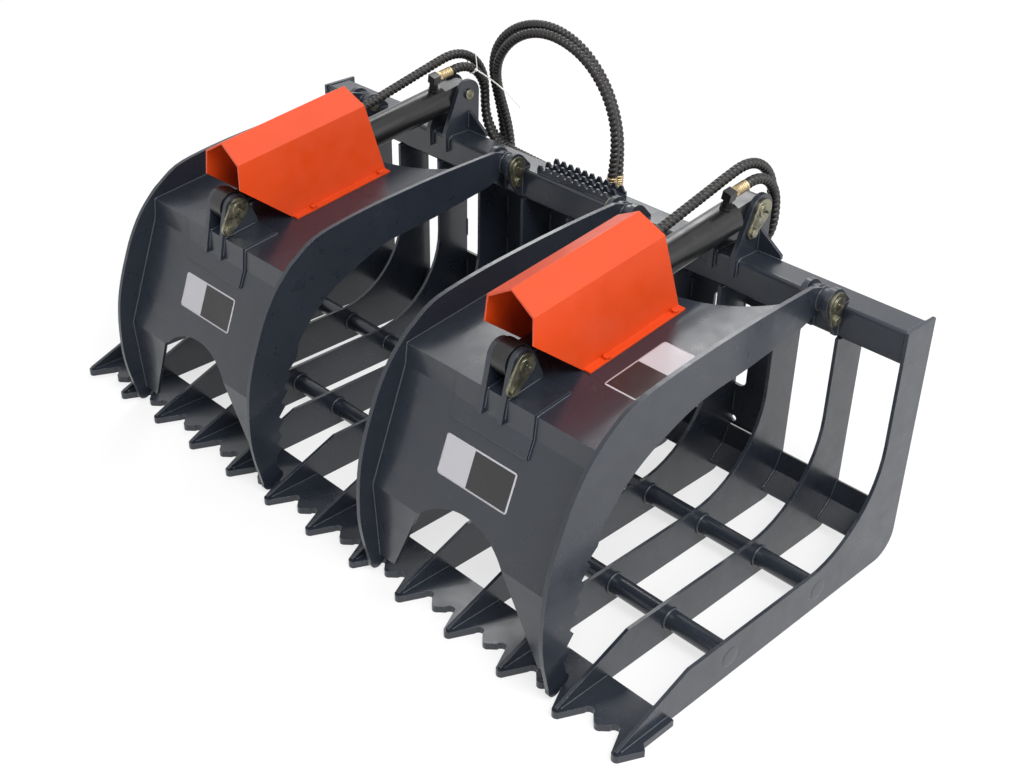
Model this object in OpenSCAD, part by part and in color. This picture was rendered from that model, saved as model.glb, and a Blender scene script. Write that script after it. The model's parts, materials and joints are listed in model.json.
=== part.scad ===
// Skeleton grapple with two claws: a tined jaw frame, two hinged claws, two hydraulic cylinders.
// Millimetres, +Z up, the toothed front faces -Y. Side profiles are drawn as [d, z]:
// d runs forward from the back of the tines, z up from the ground.

/* [Jaw frame] */
// Centre distance of neighbouring tines
tine_pitch = 152.4; // [148:0.1:158]
// Thickness of a tine plate
tine_t = 8; // [6:0.5:10]
// Depth of a tine bar, upright and floor
tine_bar = 98; // [94:1:102]
// Depth from the back of the tines to the tooth tips
jaw_depth = 907; // [890:1:930]
// Height of the end tines
frame_h = 588; // [580:1:600]
// Radius of the inside curve of a tine
throat_r = 220; // [190:5:240]
// Radius of the heel of a tine
heel_r = 60; // [50:2:70]
// Length of the tapered nose of a tine
nose_len = 204; // [190:2:215]
// Height left at the tip of a nose
nose_tip = 6; // [4:1:9]

/* [Cutting edge] */
// Thickness of the toothed edge plate
edge_t = 16; // [12:1:20]
// Width of the edge plate from its back to the tooth tips
edge_w = 150; // [140:1:170]
// How far a tooth stands out from the notch bottoms
tooth_len = 64; // [56:1:70]
// Half width of a tooth at its root
tooth_root = 32; // [28:1:34]
// Half width of a tooth at its tip
tooth_tip = 11; // [8:1:16]
// How far the nub between two teeth stands out
nub_len = 28; // [22:1:34]
// Half width of the nub at its root
nub_root = 21; // [16:1:22]
// Half width of the nub at its tip
nub_tip = 11; // [8:1:14]
// How far the edge plate stands past the end tines
edge_over = 14; // [8:1:20]

/* [Top tube and pipes] */
// Outside size of the square top tube
tube_s = 76; // [70:1:80]
// Wall of the top tube
tube_wall = 6; // [4:0.5:8]
// Distance from the back of the tines to the tube
tube_back = 17; // [12:1:20]
// Outside diameter of the round cross pipes
pipe_d = 42.4; // [38:0.1:48]
// Wall of the cross pipes
pipe_wall = 4; // [3:0.5:6]
// Distance from the back of the tines to the rear pipe
rear_pipe_d = 283; // [270:1:320]
// Distance from the back of the tines to the front pipe
front_pipe_d = 574; // [550:1:600]

/* [Quick-attach plate] */
// Half width of the quick-attach plate
qa_half = 572; // [565:1:580]
// Thickness of the quick-attach plate
qa_t = 8; // [6:0.5:10]
// Height of the fold above the bottom lip
qa_low = 112; // [105:1:118]
// How far the fold under the top lip lies below the top tube
qa_below = 58; // [54:1:70]
// How far both lips reach back
qa_reach = 45; // [40:1:50]
// Half width of the pin slots in the bottom lip
qa_slot_half = 30; // [24:1:34]
// Width across the pin slots
qa_slot_w = 24; // [20:1:28]

/* [Claws] */
// Thickness of the claw arm plates
arm_t = 10; // [8:0.5:11]
// Thickness of the claw's top and front plates
skin_t = 8; // [6:0.5:9]
// How far the claw pivots stand ahead of the top tube
hinge_ahead = 24; // [24:0.5:29]
// Height of the claw pivots above the top tube
hinge_rise = 12; // [12:0.5:17]
// Diameter of the pivot pins
pin_d = 25.4; // [22:0.1:27]
// Outside radius of an arm's pivot boss
boss_r = 25; // [23:0.5:25]
// Length of an arm's pivot boss
boss_len = 46; // [40:1:52]
// Wall of the pivot bushes
bush_t = 4; // [3:0.5:5]
// Thickness of the ears that carry the pins
ear_t = 12; // [10:1:14]
// Number of grip teeth on an arm
grip_teeth = 7; // [4:1:8]
// Depth of the grip teeth
grip_depth = 14; // [8:1:18]

/* [Cylinders] */
// Outside diameter of a cylinder barrel
barrel_d = 73; // [68:1:78]
// Wall of a barrel
barrel_wall = 5; // [4:0.5:7]
// Distance from the tower pin to the gland face
barrel_len = 455; // [430:1:480]
// Diameter of the cylinder rod
rod_d = 32; // [28:1:36]
// Outside radius of the rod eye
eye_r = 36; // [34:0.5:38]
// Width of the base and rod eyes
eye_w = 46; // [40:1:50]
// How far the tower pin stands ahead of the back of the top tube
tower_ahead = 8; // [5:1:11]
// Height of the tower pin above the top tube
tower_rise = 97; // [92:1:102]
// Height of the rod pin above the claw's top plate
rod_rise = 61.5; // [58:0.5:66]

/* [Cylinder guard] */
// Half width of the guard at its eaves
guard_eave = 62; // [56:1:66]
// Half width of the guard at the foot of its walls
guard_foot = 76; // [70:1:80]
// Width of the guard's bolted flanges
guard_flange = 17; // [15:1:22]
// Height of the eaves above the top plate
guard_wall_h = 174; // [165:1:180]
// Height of the ridge above the top plate
guard_ridge_h = 208; // [195:1:212]
// Sheet thickness of the guard
guard_t = 4; // [3:0.5:5]

/* [Hidden] */
$fn = 64;

paint = [0.22, 0.24, 0.26];
guard_paint = [0.9, 0.32, 0.14];
zinc = [0.72, 0.66, 0.42];
black = [0.06, 0.06, 0.07];
steel = [0.75, 0.76, 0.78];

// One overrun serves every cut that passes a face
over = 2;
// Gap left between welded plates that meet at an angle or run through each other
weld_gap = 0.2;
// Radial clearance of a running pin
run_clear = 0.06;

tine_count = 13;
mid = (tine_count - 1) / 2;
back_y = (jaw_depth - qa_reach) / 2;
end_x = mid * tine_pitch;
edge_back_d = jaw_depth - edge_w;
notch_d = jaw_depth - tooth_len;
kink_d = jaw_depth - nose_len;
nose_d = jaw_depth - nose_tip;
tube_drop = 2;
tube_top = frame_h - tube_drop;
tube_low = tube_top - tube_s;
tube_front = tube_back + tube_s;
hinge_d = tube_front + hinge_ahead;
hinge_z = tube_top + hinge_rise;
tower_d = tube_back + tower_ahead;
tower_z = tube_top + tower_rise;
qa_high = tube_low - qa_below;
pipe_z = tine_bar / 2;

// Claws sit three pitches either side of the middle and are four pitches wide, less the notches
claw_x = 3 * tine_pitch;
notch_off = (tooth_root + tine_pitch / 2 - nub_root) / 2;
notch_r = (tine_pitch / 2 - nub_root - tooth_root) / 2;
// How far the arms stand outside the middles of their notches
arm_shift = 4;
arm_half = 2 * tine_pitch - notch_off + arm_shift;
claw_in = arm_half - arm_t / 2 - weld_gap;

function tine_x(i) = (i - mid) * tine_pitch;

// Points of an arc about c, from angle a to angle b
function arc(c, r, a, b, n) =
  [for (k = [0:n]) let (t = a + (b - a) * k / n) c + r * [cos(t), sin(t)]];

// Angle on the circle of radius r about c where the line from p touches it, on side k
function touch(c, r, p, k) = let (v = p - c) atan2(v[1], v[0]) + k * acos(r / norm(v));

// Round-topped ear: an arc about c between the tangents from the first and last points of its foot
function ear_outline(c, r, foot) = let (a = touch(c, r, foot[0], 1), b = touch(c, r, foot[len(foot) - 1], -1))
  concat(arc(c, r, a, b < a ? b + 360 : b, 14), [for (i = [len(foot) - 1:-1:0]) foot[i]]);

// A smooth curve through a list of points, with n steps to each stretch
function spline(p, n) = concat(
  [for (i = [0:len(p) - 2], k = [0:n - 1]) let (
    a = p[max(i - 1, 0)], b = p[i], c = p[i + 1], e = p[min(i + 2, len(p) - 1)], t = k / n)
    (b * 2 + (c - a) * t + (a * 2 - b * 5 + c * 4 - e) * t * t
      + (b * 3 - a - c * 3 + e) * t * t * t) / 2],
  [p[len(p) - 1]]);

// A side profile of [d, z] points stood up between x and x + t
module side(x, t) {
  translate([x + t, back_y, 0]) rotate([90, 0, -90]) linear_extrude(t) children();
}

// Its children about a line across the part at [d, z], drawn along +X from x
module across(x, d, z) {
  translate([x, back_y - d, z]) rotate([0, 90, 0]) children();
}

// A plate of one thickness under a line of [d, z] points, mitred at its folds
function below(a, b) = let (v = (b - a) / norm(b - a)) [v[1], -v[0]];
function under(p, t) = concat(p, [for (i = [len(p) - 1:-1:0]) let (
  m = below(p[max(i - 1, 0)], p[max(i, 1)]), n = below(p[min(i, len(p) - 2)], p[min(i + 1, len(p) - 1)]))
  p[i] + (m + n) * t / (1 + m * n)]);

// Tine: upright bar, throat, floor bar, tapered nose on the cutting edge
module tine(i) {
  last = i == 0 || i == tine_count - 1;
  top = last ? frame_h : tube_low - weld_gap;
  throat = [tine_bar + throat_r, tine_bar + throat_r];
  color(paint) difference() {
    side(tine_x(i) - tine_t / 2, tine_t) polygon(concat(
      arc([heel_r, heel_r], heel_r, 180, 270, 8),
      [[edge_back_d - weld_gap, 0], [edge_back_d - weld_gap, edge_t + weld_gap],
       [nose_d, edge_t + weld_gap], [nose_d, edge_t + nose_tip], [kink_d, tine_bar]],
      arc(throat, throat_r, 270, 180, 12),
      [[tine_bar, top], [0, top]]));
    for (d = [rear_pipe_d, front_pipe_d])
      across(tine_x(i) - tine_t, d, pipe_z) cylinder(r = pipe_d / 2 + weld_gap, h = 2 * tine_t);
  }
}

// Edge plate: a tooth at each tine, a nub midway, round-bottomed notches between them
module cutting_edge() {
  ends = end_x + tine_t / 2 + edge_over;
  tip = [for (i = [0:tine_count - 1]) let (x = tine_x(i)) concat(
    [[x - tooth_root, notch_d + notch_r]],
    arc([x, jaw_depth - tooth_tip], tooth_tip, 170, 10, 6),
    [[x + tooth_root, notch_d + notch_r]],
    i == tine_count - 1 ? [] : concat(
      arc([x + notch_off, notch_d + notch_r], notch_r, 180, 360, 6),
      arc([x + tine_pitch / 2, notch_d + nub_len - nub_tip], nub_tip, 150, 30, 5),
      arc([x + tine_pitch - notch_off, notch_d + notch_r], notch_r, 180, 360, 6)))];
  color(paint) translate([0, back_y, 0]) mirror([0, 1, 0]) linear_extrude(edge_t) polygon(concat(
    [[-ends, edge_back_d], [-ends, notch_d]],
    [for (t = tip, p = t) p],
    [[ends, notch_d], [ends, edge_back_d]]));
}

module cross_pipes() {
  half = end_x + tine_t / 2 + weld_gap;
  color(paint) for (d = [rear_pipe_d, front_pipe_d]) across(-half, d, pipe_z) difference() {
    cylinder(d = pipe_d, h = 2 * half);
    translate([0, 0, -over]) cylinder(d = pipe_d - 2 * pipe_wall, h = 2 * (half + over));
  }
}

module top_tube() {
  half = end_x - tine_t / 2 - weld_gap;
  corner = tube_wall * 1.5;
  color(paint) side(-half, 2 * half) difference() {
    translate([tube_back + corner, tube_low + corner]) offset(r = corner) square(tube_s - 2 * corner);
    translate([tube_back + tube_wall, tube_low + tube_wall]) square(tube_s - 2 * tube_wall);
  }
}

// Folded plate in the heel of the jaw, one length between each two tines
heel_fold_share = [0.25, 0.7];
module heel_plates() {
  t = tine_t;
  p = [[t + weld_gap, qa_low], [tine_bar * heel_fold_share[0], tine_bar * heel_fold_share[1]],
    [tine_bar * heel_fold_share[1], tine_bar * heel_fold_share[0] + t]];
  gap = tine_pitch - tine_t - 2 * weld_gap;
  color(paint) for (i = [0:tine_count - 2])
    side(tine_x(i) + tine_t / 2 + weld_gap, gap) polygon(under(p, t));
}

// Quick-attach plate: panel, hooked lips, windows, slots and holes
qa_window_share = [0.655, 0.855];
qa_slot_share = 0.64;
qa_hole_share = 0.815;
qa_window_low_share = 0.32;
qa_hole_r = 8;
qa_window_r = 18;
module quick_attach_plate() {
  t = qa_t;
  b = -weld_gap;
  fold = qa_reach - t;
  panel = [[b, qa_low], [b, qa_high], [b - fold, qa_high + fold], [-qa_reach, qa_high + fold - t],
    [b - t, qa_high - t / 2], [b - t, qa_low + t / 2], [-qa_reach, qa_low - fold + t],
    [b - fold, qa_low - fold]];
  low = qa_low + (qa_high - qa_low) * qa_window_low_share;
  color(paint) difference() {
    side(-qa_half, 2 * qa_half) polygon(panel);
    for (s = [-1, 1]) {
      x0 = qa_half * qa_window_share[0];
      w = qa_half * (qa_window_share[1] - qa_window_share[0]);
      translate([s * (x0 + w / 2), back_y + 2 * t, low]) rotate([90, 0, 0]) linear_extrude(4 * t)
        translate([-w / 2 + qa_window_r, qa_window_r]) offset(r = qa_window_r)
          square([w - 2 * qa_window_r, qa_high - low - 3 * qa_window_r]);
      translate([s * qa_half * qa_slot_share, back_y + qa_reach / 2, qa_low - qa_reach / 2])
        rotate([-45, 0, 0]) for (e = [-1, 1]) {
          translate([e * (qa_slot_half - qa_slot_w / 2), 0, -qa_reach / 2])
            cylinder(d = qa_slot_w, h = qa_reach);
          translate([-qa_slot_half + qa_slot_w / 2, -qa_slot_w / 2, -qa_reach / 2])
            cube([2 * qa_slot_half - qa_slot_w, qa_slot_w, qa_reach]);
        }
      translate([s * qa_half * qa_hole_share, back_y - t, qa_low + 2 * qa_hole_r]) rotate([-90, 0, 0])
        cylinder(r = qa_hole_r, h = 3 * t);
    }
  }
}

// Serrated step on the tube: a base strip and three toothed bars
tread_half = 116;
tread_h = 22;
tread_bar_t = 5;
tread_teeth = 10;
tread_share = [0.1, 0.9];
module step_tread() {
  z = tube_top + weld_gap;
  d0 = tube_back + tube_s * tread_share[0];
  d1 = tube_back + tube_s * tread_share[1];
  step = 2 * tread_half / tread_teeth;
  color(paint) union() {
    side(-tread_half, 2 * tread_half) translate([d0, z]) square([d1 - d0, tread_bar_t]);
    for (d = [d0, (d0 + d1 - tread_bar_t) / 2, d1 - tread_bar_t])
      translate([0, back_y - d, z]) rotate([90, 0, 0]) linear_extrude(tread_bar_t) polygon(concat(
        [[-tread_half, tread_bar_t / 2]],
        [for (k = [0:tread_teeth - 1], q = [[0, 0.55], [0.2, 1], [0.5, 1], [0.75, 0.55]])
          [-tread_half + (k + q[0]) * step, tread_h * q[1]]],
        [[tread_half, tread_h * 0.55], [tread_half, tread_bar_t / 2]]));
  }
}

// Ears of a claw pivot: plates on the tube's front face, one each side of the arm's boss
ear_clear = 0.6;
ear_r = 32;
ear_off = boss_len / 2 + ear_clear;
module claw_ear(x) {
  f = tube_front + weld_gap;
  lap = tube_front - tube_s / 3;
  difference() {
    side(x, ear_t) polygon(ear_outline([hinge_d, hinge_z], ear_r, [[f + tube_wall, tube_low + tube_wall],
      [f, tube_low + tube_wall], [f, tube_top + weld_gap], [lap, tube_top + weld_gap], [lap, tube_top + tube_wall]]));
    across(x - over, hinge_d, hinge_z) cylinder(r = pin_d / 2 + run_clear, h = ear_t + 2 * over);
  }
}

module claw_pivot_ears() {
  color(paint) for (s = [-1, 1], a = [-1, 1], e = [-1, 1])
    claw_ear(s * claw_x + a * arm_half + (e > 0 ? ear_off : -ear_off - ear_t));
}

// Flag pin: shaft, head disc, teardrop flag, grease nipple and a keeper bolt
flag_t = 6;
flag_r = 26;
flag_small_r = 15;
flag_reach = 36;
keeper_r = 6;
module flag_pin(x0, x1, s, turn, reach) {
  // the flag lies on the outer face, at x1 for s = 1 and at x0 for s = -1
  face = s > 0 ? x1 : x0;
  translate([face, 0, 0]) mirror([s > 0 ? 0 : 1, 0, 0]) rotate([0, 90, 0]) {
    translate([0, 0, -(x1 - x0) - flag_t]) cylinder(d = pin_d, h = x1 - x0 + 2 * flag_t + ear_clear);
    translate([0, 0, ear_clear]) rotate([0, 0, turn]) difference() {
      union() {
        linear_extrude(flag_t) hull() {
          circle(flag_r);
          translate([reach, 0]) circle(flag_small_r);
        }
        cylinder(d = pin_d + flag_t, h = flag_t * 1.5);
        translate([0, 0, flag_t]) cylinder(r = keeper_r / 2, h = flag_t * 2);
      }
      translate([reach, 0, -over]) cylinder(r = keeper_r + weld_gap, h = flag_t + 2 * over);
    }
    translate([0, 0, ear_clear]) rotate([0, 0, turn]) translate([reach, 0, 0]) {
      cylinder(r = keeper_r, h = flag_t + weld_gap);
      translate([0, 0, flag_t + weld_gap]) cylinder(r = keeper_r * 1.8, h = flag_t, $fn = 6);
    }
  }
}

module claw_pivot_pins() {
  color(zinc) for (s = [-1, 1], a = [-1, 1]) translate([s * claw_x + a * arm_half, back_y - hinge_d, hinge_z])
    flag_pin(-ear_off - ear_t, ear_off + ear_t, a, 0, flag_reach);
}

// Tower: two ears hooked over the tube, a foot plate and a raking gusset outside each ear
tower_ear_r = 36;
tower_ear_x = eye_w / 2 + ear_clear;
tower_foot = 10;
gusset_w = 62;
gusset_h = 54;
module tower() {
  x1 = tower_ear_x + ear_t;
  f = tube_front + weld_gap;
  for (e = [-1, 1]) difference() {
    side(e > 0 ? tower_ear_x : -x1, ear_t) polygon(ear_outline([tower_d, tower_z], tower_ear_r,
      [[f + tower_foot, tube_top + tower_foot], [f + tower_foot, tube_top - tube_s / 2], [f, tube_top - tube_s / 2],
       [f, tube_top + weld_gap], [-tower_foot, tube_top + weld_gap], [-tower_foot, tube_top + tower_foot]]));
    across(e > 0 ? tower_ear_x - over : -x1 - over, tower_d, tower_z)
      cylinder(r = pin_d / 2 + run_clear, h = ear_t + 2 * over);
  }
  for (e = [-1, 1]) translate([0, back_y - tower_d + tine_t, tube_top + weld_gap])
    rotate([90, 0, 0]) linear_extrude(tine_t)
      polygon([[e * (x1 + weld_gap), 0], [e * (x1 + gusset_w), 0], [e * (x1 + gusset_w), tower_foot],
        [e * (x1 + weld_gap), gusset_h]]);
}

module cylinder_towers() {
  color(paint) for (s = [-1, 1]) translate([s * claw_x, 0, 0]) tower();
}

module tower_pins() {
  color(zinc) for (s = [-1, 1]) translate([s * claw_x, back_y - tower_d, tower_z])
    flag_pin(-tower_ear_x - ear_t, tower_ear_x + ear_t, s, -38, 2 * flag_r);
}

// Hose tees behind the middle of the tube, on a welded shelf
hose_d = 22;
shelf_t = 6;
tee_r = 13;
tee_half = 34;
tee_x = 38;
tee_z = tube_low + shelf_t + tee_r + 2 * weld_gap;
tee_ds = [-10, -33];
module hose_tees() {
  color(paint) side(tee_x - tee_half, 2 * tee_half) translate([tee_ds[1] - tee_r / 2, tube_low + weld_gap])
    square([tube_back - weld_gap - tee_ds[1] + tee_r / 2, shelf_t]);
  color(steel) for (d = tee_ds) {
    across(tee_x - tee_half, d, tee_z) cylinder(r = tee_r, h = 2 * tee_half, $fn = 6);
    translate([tee_x, back_y - d, tee_z]) cylinder(r = tee_r * 0.8, h = tee_half);
  }
}

// Claw arm: outline from shares of the reach and drop between the pivot and the tip
tip_clear = 5;
tip_r = 18;
tip_share = 0.955;
arm_reach = (notch_d + 2 * notch_r - hinge_d) / tip_share;
arm_drop = hinge_z - tip_clear;
function arm_pt(q) = [hinge_d + q[0] * arm_reach, tip_clear + q[1] * arm_drop];
arm_outer_shares = [[0.05, 1.063], [0.264, 1.056], [0.493, 1.036], [0.648, 1.012], [0.741, 0.985],
  [0.802, 0.936], [0.835, 0.902], [0.882, 0.835], [0.922, 0.75], [0.95, 0.666], [0.974, 0.582],
  [0.992, 0.4975], [1.002, 0.413], [1.006, 0.329], [1.006, 0.2445], [0.998, 0.16], [0.986, 0.088],
  [0.978, 0.04]];
arm_inner_shares = [[0.929, 0.115], [0.918, 0.2], [0.905, 0.3], [0.886, 0.4], [0.859, 0.5],
  [0.812, 0.60], [0.75, 0.69], [0.68, 0.757], [0.595, 0.81], [0.475, 0.862], [0.3, 0.885], [0.08, 0.925]];
grip_low_share = 0.122;
grip_high_share = 0.548;
// The tip's round heel stands on the edge plate behind the notch
tip_heel_r = 15;
tip_heel_share = 0.926;
// Inside edge of the arm at a height, from the first five shares
function grip_d(t) = hinge_d + arm_reach * lookup(t, [for (q = arm_inner_shares) [q[1], q[0]]]);
function grip_points() = let (step = (grip_high_share - grip_low_share) / grip_teeth)
  [for (k = [0:grip_teeth - 1], q = [[0, 0], [0.65, 1]]) let (t = grip_low_share + (k + q[0]) * step)
    [grip_d(t) - grip_depth * q[1], tip_clear + t * arm_drop]];

module claw_arm(x) {
  high = [for (q = arm_inner_shares) if (q[1] > grip_high_share) arm_pt(q)];
  outer = [for (q = arm_outer_shares) arm_pt(q)];
  tip = arm_pt([tip_share, 0]);
  heel = [hinge_d + arm_reach * tip_heel_share, edge_t + over + tip_heel_r];
  difference() {
    union() {
      side(x - arm_t / 2, arm_t) {
        polygon(concat([[hinge_d, hinge_z + boss_r]], spline(outer, 3),
          arc(tip + [0, tip_r], tip_r, 350, 202, 8), arc(heel, tip_heel_r, 250, 120, 6), grip_points(), spline(high, 3),
          [[hinge_d, hinge_z - boss_r]]));
        translate([hinge_d, hinge_z]) circle(boss_r);
      }
      across(x - boss_len / 2, hinge_d, hinge_z) cylinder(r = boss_r, h = boss_len);
    }
    across(x - boss_len, hinge_d, hinge_z) cylinder(r = pin_d / 2 + bush_t, h = 2 * boss_len);
  }
}

module pivot_bushes(s) {
  color(steel) for (a = [-1, 1]) across(s * claw_x + a * arm_half - boss_len / 2, hinge_d, hinge_z)
    difference() {
      cylinder(r = pin_d / 2 + bush_t - weld_gap / 4, h = boss_len);
      translate([0, 0, -over]) cylinder(r = pin_d / 2 + run_clear, h = boss_len + 2 * over);
    }
}

// The claw's top plate lies on a line through the rod pin's seat, parallel to the cylinder
rod_pin_d = hinge_d + arm_reach * 0.785;
rod_pin_z = hinge_z - arm_drop * 0.0101;
cyl_len = norm([rod_pin_d - tower_d, tower_z - rod_pin_z]);
tilt = atan2(tower_z - rod_pin_z, rod_pin_d - tower_d);
// Unit vectors forward along the cylinder and up from it, in [d, z]
along = [cos(tilt), -sin(tilt)];
up = [sin(tilt), cos(tilt)];
rod_pt = [rod_pin_d, rod_pin_z];
// [u, w]: u forward along the top plate from the rod pin, w up from the plate
function seat(u, w) = rod_pt + along * u + up * (w - rod_rise);

// Children drawn in [x, u, w], with u running backwards along -Y, at a claw centre
module on_plate(cx) {
  o = seat(0, 0);
  translate([cx, back_y - o[0], o[1]]) rotate([tilt, 0, 0]) children();
}

nose_u = 44;
bevel_share = [0.837, 0.798];
bend_share = [0.959, 0.376];
leg_share = [0.944, 0.05];
rear_arc_r = 285;
rear_apex_d = 313;
bevel_pt = arm_pt(bevel_share);
bend_pt = arm_pt(bend_share);
foot_pt = arm_pt(leg_share);
// Outside of the claw's skin from the rear edge round to the feet, then back along its inside
skin_line = under([seat(rear_apex_d - rear_arc_r - rod_pin_d, 0), seat(nose_u, 0), bevel_pt, bend_pt, foot_pt], skin_t);

// Top plate between the arms, its rear edge hollowed to an arc
module top_plate(s) {
  color(paint) difference() {
    side(s * claw_x - claw_in, 2 * claw_in) polygon([skin_line[0], skin_line[1], skin_line[8], skin_line[9]]);
    translate([s * claw_x, back_y - rear_apex_d + rear_arc_r, hinge_z - tube_s])
      cylinder(r = rear_arc_r, h = 2 * tube_s, $fn = 96);
    side(s * claw_x - claw_in - over, 2 * (claw_in + over))
      translate([tube_back, tube_low]) square([hinge_d + boss_r - tube_back, 2 * tube_s]);
  }
}

// Front plate: bevel, slanted face and two legs below an arch
arch_r = 169;
arch_half = 120;
leg_end = 45;
module front_plate(s) {
  g = [weld_gap, 0];
  half = claw_in;
  low = foot_pt[1] - over;
  color(paint) difference() {
    side(s * claw_x - half, 2 * half) polygon([skin_line[1] + g, skin_line[2], skin_line[3], skin_line[4],
      skin_line[5], skin_line[6], skin_line[7], skin_line[8] + g]);
    translate([s * claw_x, back_y, 0]) rotate([90, 0, 0]) linear_extrude(jaw_depth) {
      intersection() {
        translate([0, bend_pt[1] - sqrt(arch_r * arch_r - arch_half * arch_half)]) circle(arch_r, $fn = 96);
        translate([-arch_half, bend_pt[1]]) square([2 * arch_half, arch_r]);
      }
      polygon([[-arch_half, bend_pt[1]], [-half + leg_end, low], [half - leg_end, low], [arch_half, bend_pt[1]]]);
    }
  }
}

// Rod bracket: doubler wrapped over the front edge, two ears with hooked feet
doubler_half = 106;
doubler_t = 6;
doubler_back = 46;
bracket_trim = 1.5;
bracket_ear_x = eye_w / 2 - bracket_trim;
doubler_low_share = 0.73;
module rod_bracket(s) {
  cx = s * claw_x;
  g = weld_gap;
  low_z = tip_clear + arm_drop * doubler_low_share;
  low = bevel_pt + (bend_pt - bevel_pt) * (bevel_pt[1] - low_z) / (bevel_pt[1] - bend_pt[1]);
  wrap = [seat(-doubler_back, g), seat(nose_u, 0) + [2 * g, g], bevel_pt + [g, g], low + [g, 0]];
  out = under(wrap, -doubler_t - g);
  color(paint) {
    side(cx - doubler_half, 2 * doubler_half) polygon(under(wrap, -doubler_t));
    for (e = [-1, 1]) difference() {
      side(cx + (e > 0 ? bracket_ear_x : -bracket_ear_x - ear_t), ear_t) polygon(ear_outline(rod_pt, ear_r,
        [out[5] + [tower_foot, 0], out[5], out[6], out[7], out[7] + up * tower_foot]));
      across(cx + (e > 0 ? bracket_ear_x : -bracket_ear_x - ear_t) - over, rod_pin_d, rod_pin_z)
        cylinder(r = pin_d / 2 + run_clear, h = ear_t + 2 * over);
    }
  }
}

// Guard: gabled sheet over the cylinder with flared walls and bolted flanges
// Where the guard's side outline starts and ends, forward of the rod pin
guard_front_u = -114;
guard_back_u = -394;
guard_roof_us = [-16, -366];
guard_nose_u = 1.5;
guard_nose_share = 0.675;
bolt_r = 5;
bolt_us = [-170, -372];
module guard_section(inset) {
  e = guard_eave - inset;
  f = guard_foot - inset;
  polygon([[-f, -over], [-e, guard_wall_h - inset], [0, guard_ridge_h - inset],
    [e, guard_wall_h - inset], [f, -over]]);
}

module guard(s) {
  g = weld_gap;
  // side outline of the guard in [u, w], cut back at the foot of its front edge
  outline = [[guard_front_u, 0], [guard_nose_u, guard_wall_h * guard_nose_share],
    [guard_roof_us[0], guard_ridge_h + over], [guard_roof_us[1], guard_ridge_h + over], [guard_back_u, 0]];
  color(guard_paint) on_plate(s * claw_x) translate([0, 0, g]) union() {
    intersection() {
      rotate([90, 0, 0]) translate([0, 0, -jaw_depth / 2]) linear_extrude(jaw_depth) difference() {
        guard_section(0);
        guard_section(guard_t);
      }
      rotate([90, 0, -90]) translate([0, 0, -guard_foot - over]) linear_extrude(2 * (guard_foot + over))
        polygon(outline);
    }
    for (e = [-1, 1]) difference() {
      translate([e > 0 ? guard_foot - guard_t : -guard_foot - guard_flange, -guard_front_u, 0])
        cube([guard_flange + guard_t, guard_front_u - guard_back_u, guard_t]);
      for (u = bolt_us) translate([e * (guard_foot + guard_flange / 2), -u, -over])
        cylinder(r = bolt_r + weld_gap, h = guard_t + 2 * over);
    }
  }
}

module guard_bolts(s) {
  color(paint) on_plate(s * claw_x) for (e = [-1, 1], u = bolt_us)
    translate([e * (guard_foot + guard_flange / 2), -u, weld_gap]) {
      cylinder(r = bolt_r, h = guard_t + weld_gap);
      translate([0, 0, guard_t + 2 * weld_gap]) cylinder(r = bolt_r * 1.7, h = bolt_r, $fn = 6);
    }
}

// Rod pin across the bracket's ears
module rod_pin(s) {
  x = bracket_ear_x + ear_t;
  color(zinc) translate([s * claw_x, back_y - rod_pin_d, rod_pin_z]) flag_pin(-x, x, 1, -38, 2 * flag_r);
}

// Children drawn in a cylinder's own frame: z forward along it from the tower pin
module in_cylinder(s) {
  translate([s * claw_x, back_y - tower_d, tower_z]) rotate([90 + tilt, 0, 0]) children();
}

base_eye_r = 28;
cap_t = 13.4;
gland_t = 26;
// The barrel starts clear of the raked front edges of the tower's ears
ear_front = [tube_front + weld_gap + tower_foot - tower_d, tube_top + tower_foot - tower_z];
rake = atan2(ear_front[1], ear_front[0]) + acos(tower_ear_r / norm(ear_front)) + tilt;
cap_z = (tower_ear_r + barrel_d / 2 * sin(rake)) / cos(rake) + weld_gap;
bore_r = barrel_d / 2 - barrel_wall;
port_r = 13;
port_h = 8;
// Each port: how far along the barrel, and how far it is turned off the top
base_port_z = cap_z + cap_t + port_r;
rod_port_z = barrel_len - 2 * gland_t - port_r;
ports = [[base_port_z, 15], [rod_port_z, 0]];
module at_port(q) {
  translate([0, 0, q[0]]) rotate([0, 0, -q[1]]) rotate([-90, 0, 0]) children();
}

module barrel(s) {
  color(black) in_cylinder(s) {
    difference() {
      union() {
        translate([0, 0, cap_z]) cylinder(d = barrel_d, h = barrel_len - cap_z - gland_t);
        translate([-eye_w / 2, 0, 0]) rotate([0, 90, 0]) cylinder(r = base_eye_r, h = eye_w);
        translate([-eye_w / 2, -base_eye_r, 0]) cube([eye_w, 2 * base_eye_r, cap_z + cap_t / 2]);
        for (q = ports) at_port(q) cylinder(r = port_r, h = barrel_d / 2 + port_h);
      }
      translate([0, 0, cap_z + cap_t]) cylinder(r = bore_r, h = barrel_len);
      translate([-eye_w, 0, 0]) rotate([0, 90, 0]) cylinder(r = pin_d / 2 + run_clear, h = 2 * eye_w);
      for (q = ports) at_port(q) cylinder(r = port_r / 2, h = barrel_d);
    }
  }
}

module gland(s) {
  color(black) in_cylinder(s) difference() {
    union() {
      translate([0, 0, barrel_len - gland_t + weld_gap]) cylinder(d = barrel_d, h = gland_t);
      translate([0, 0, barrel_len - 2 * gland_t]) cylinder(r = bore_r - weld_gap, h = gland_t * 1.5);
    }
    translate([0, 0, barrel_len - 3 * gland_t]) cylinder(r = rod_d / 2 + run_clear, h = 4 * gland_t);
  }
}

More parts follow.
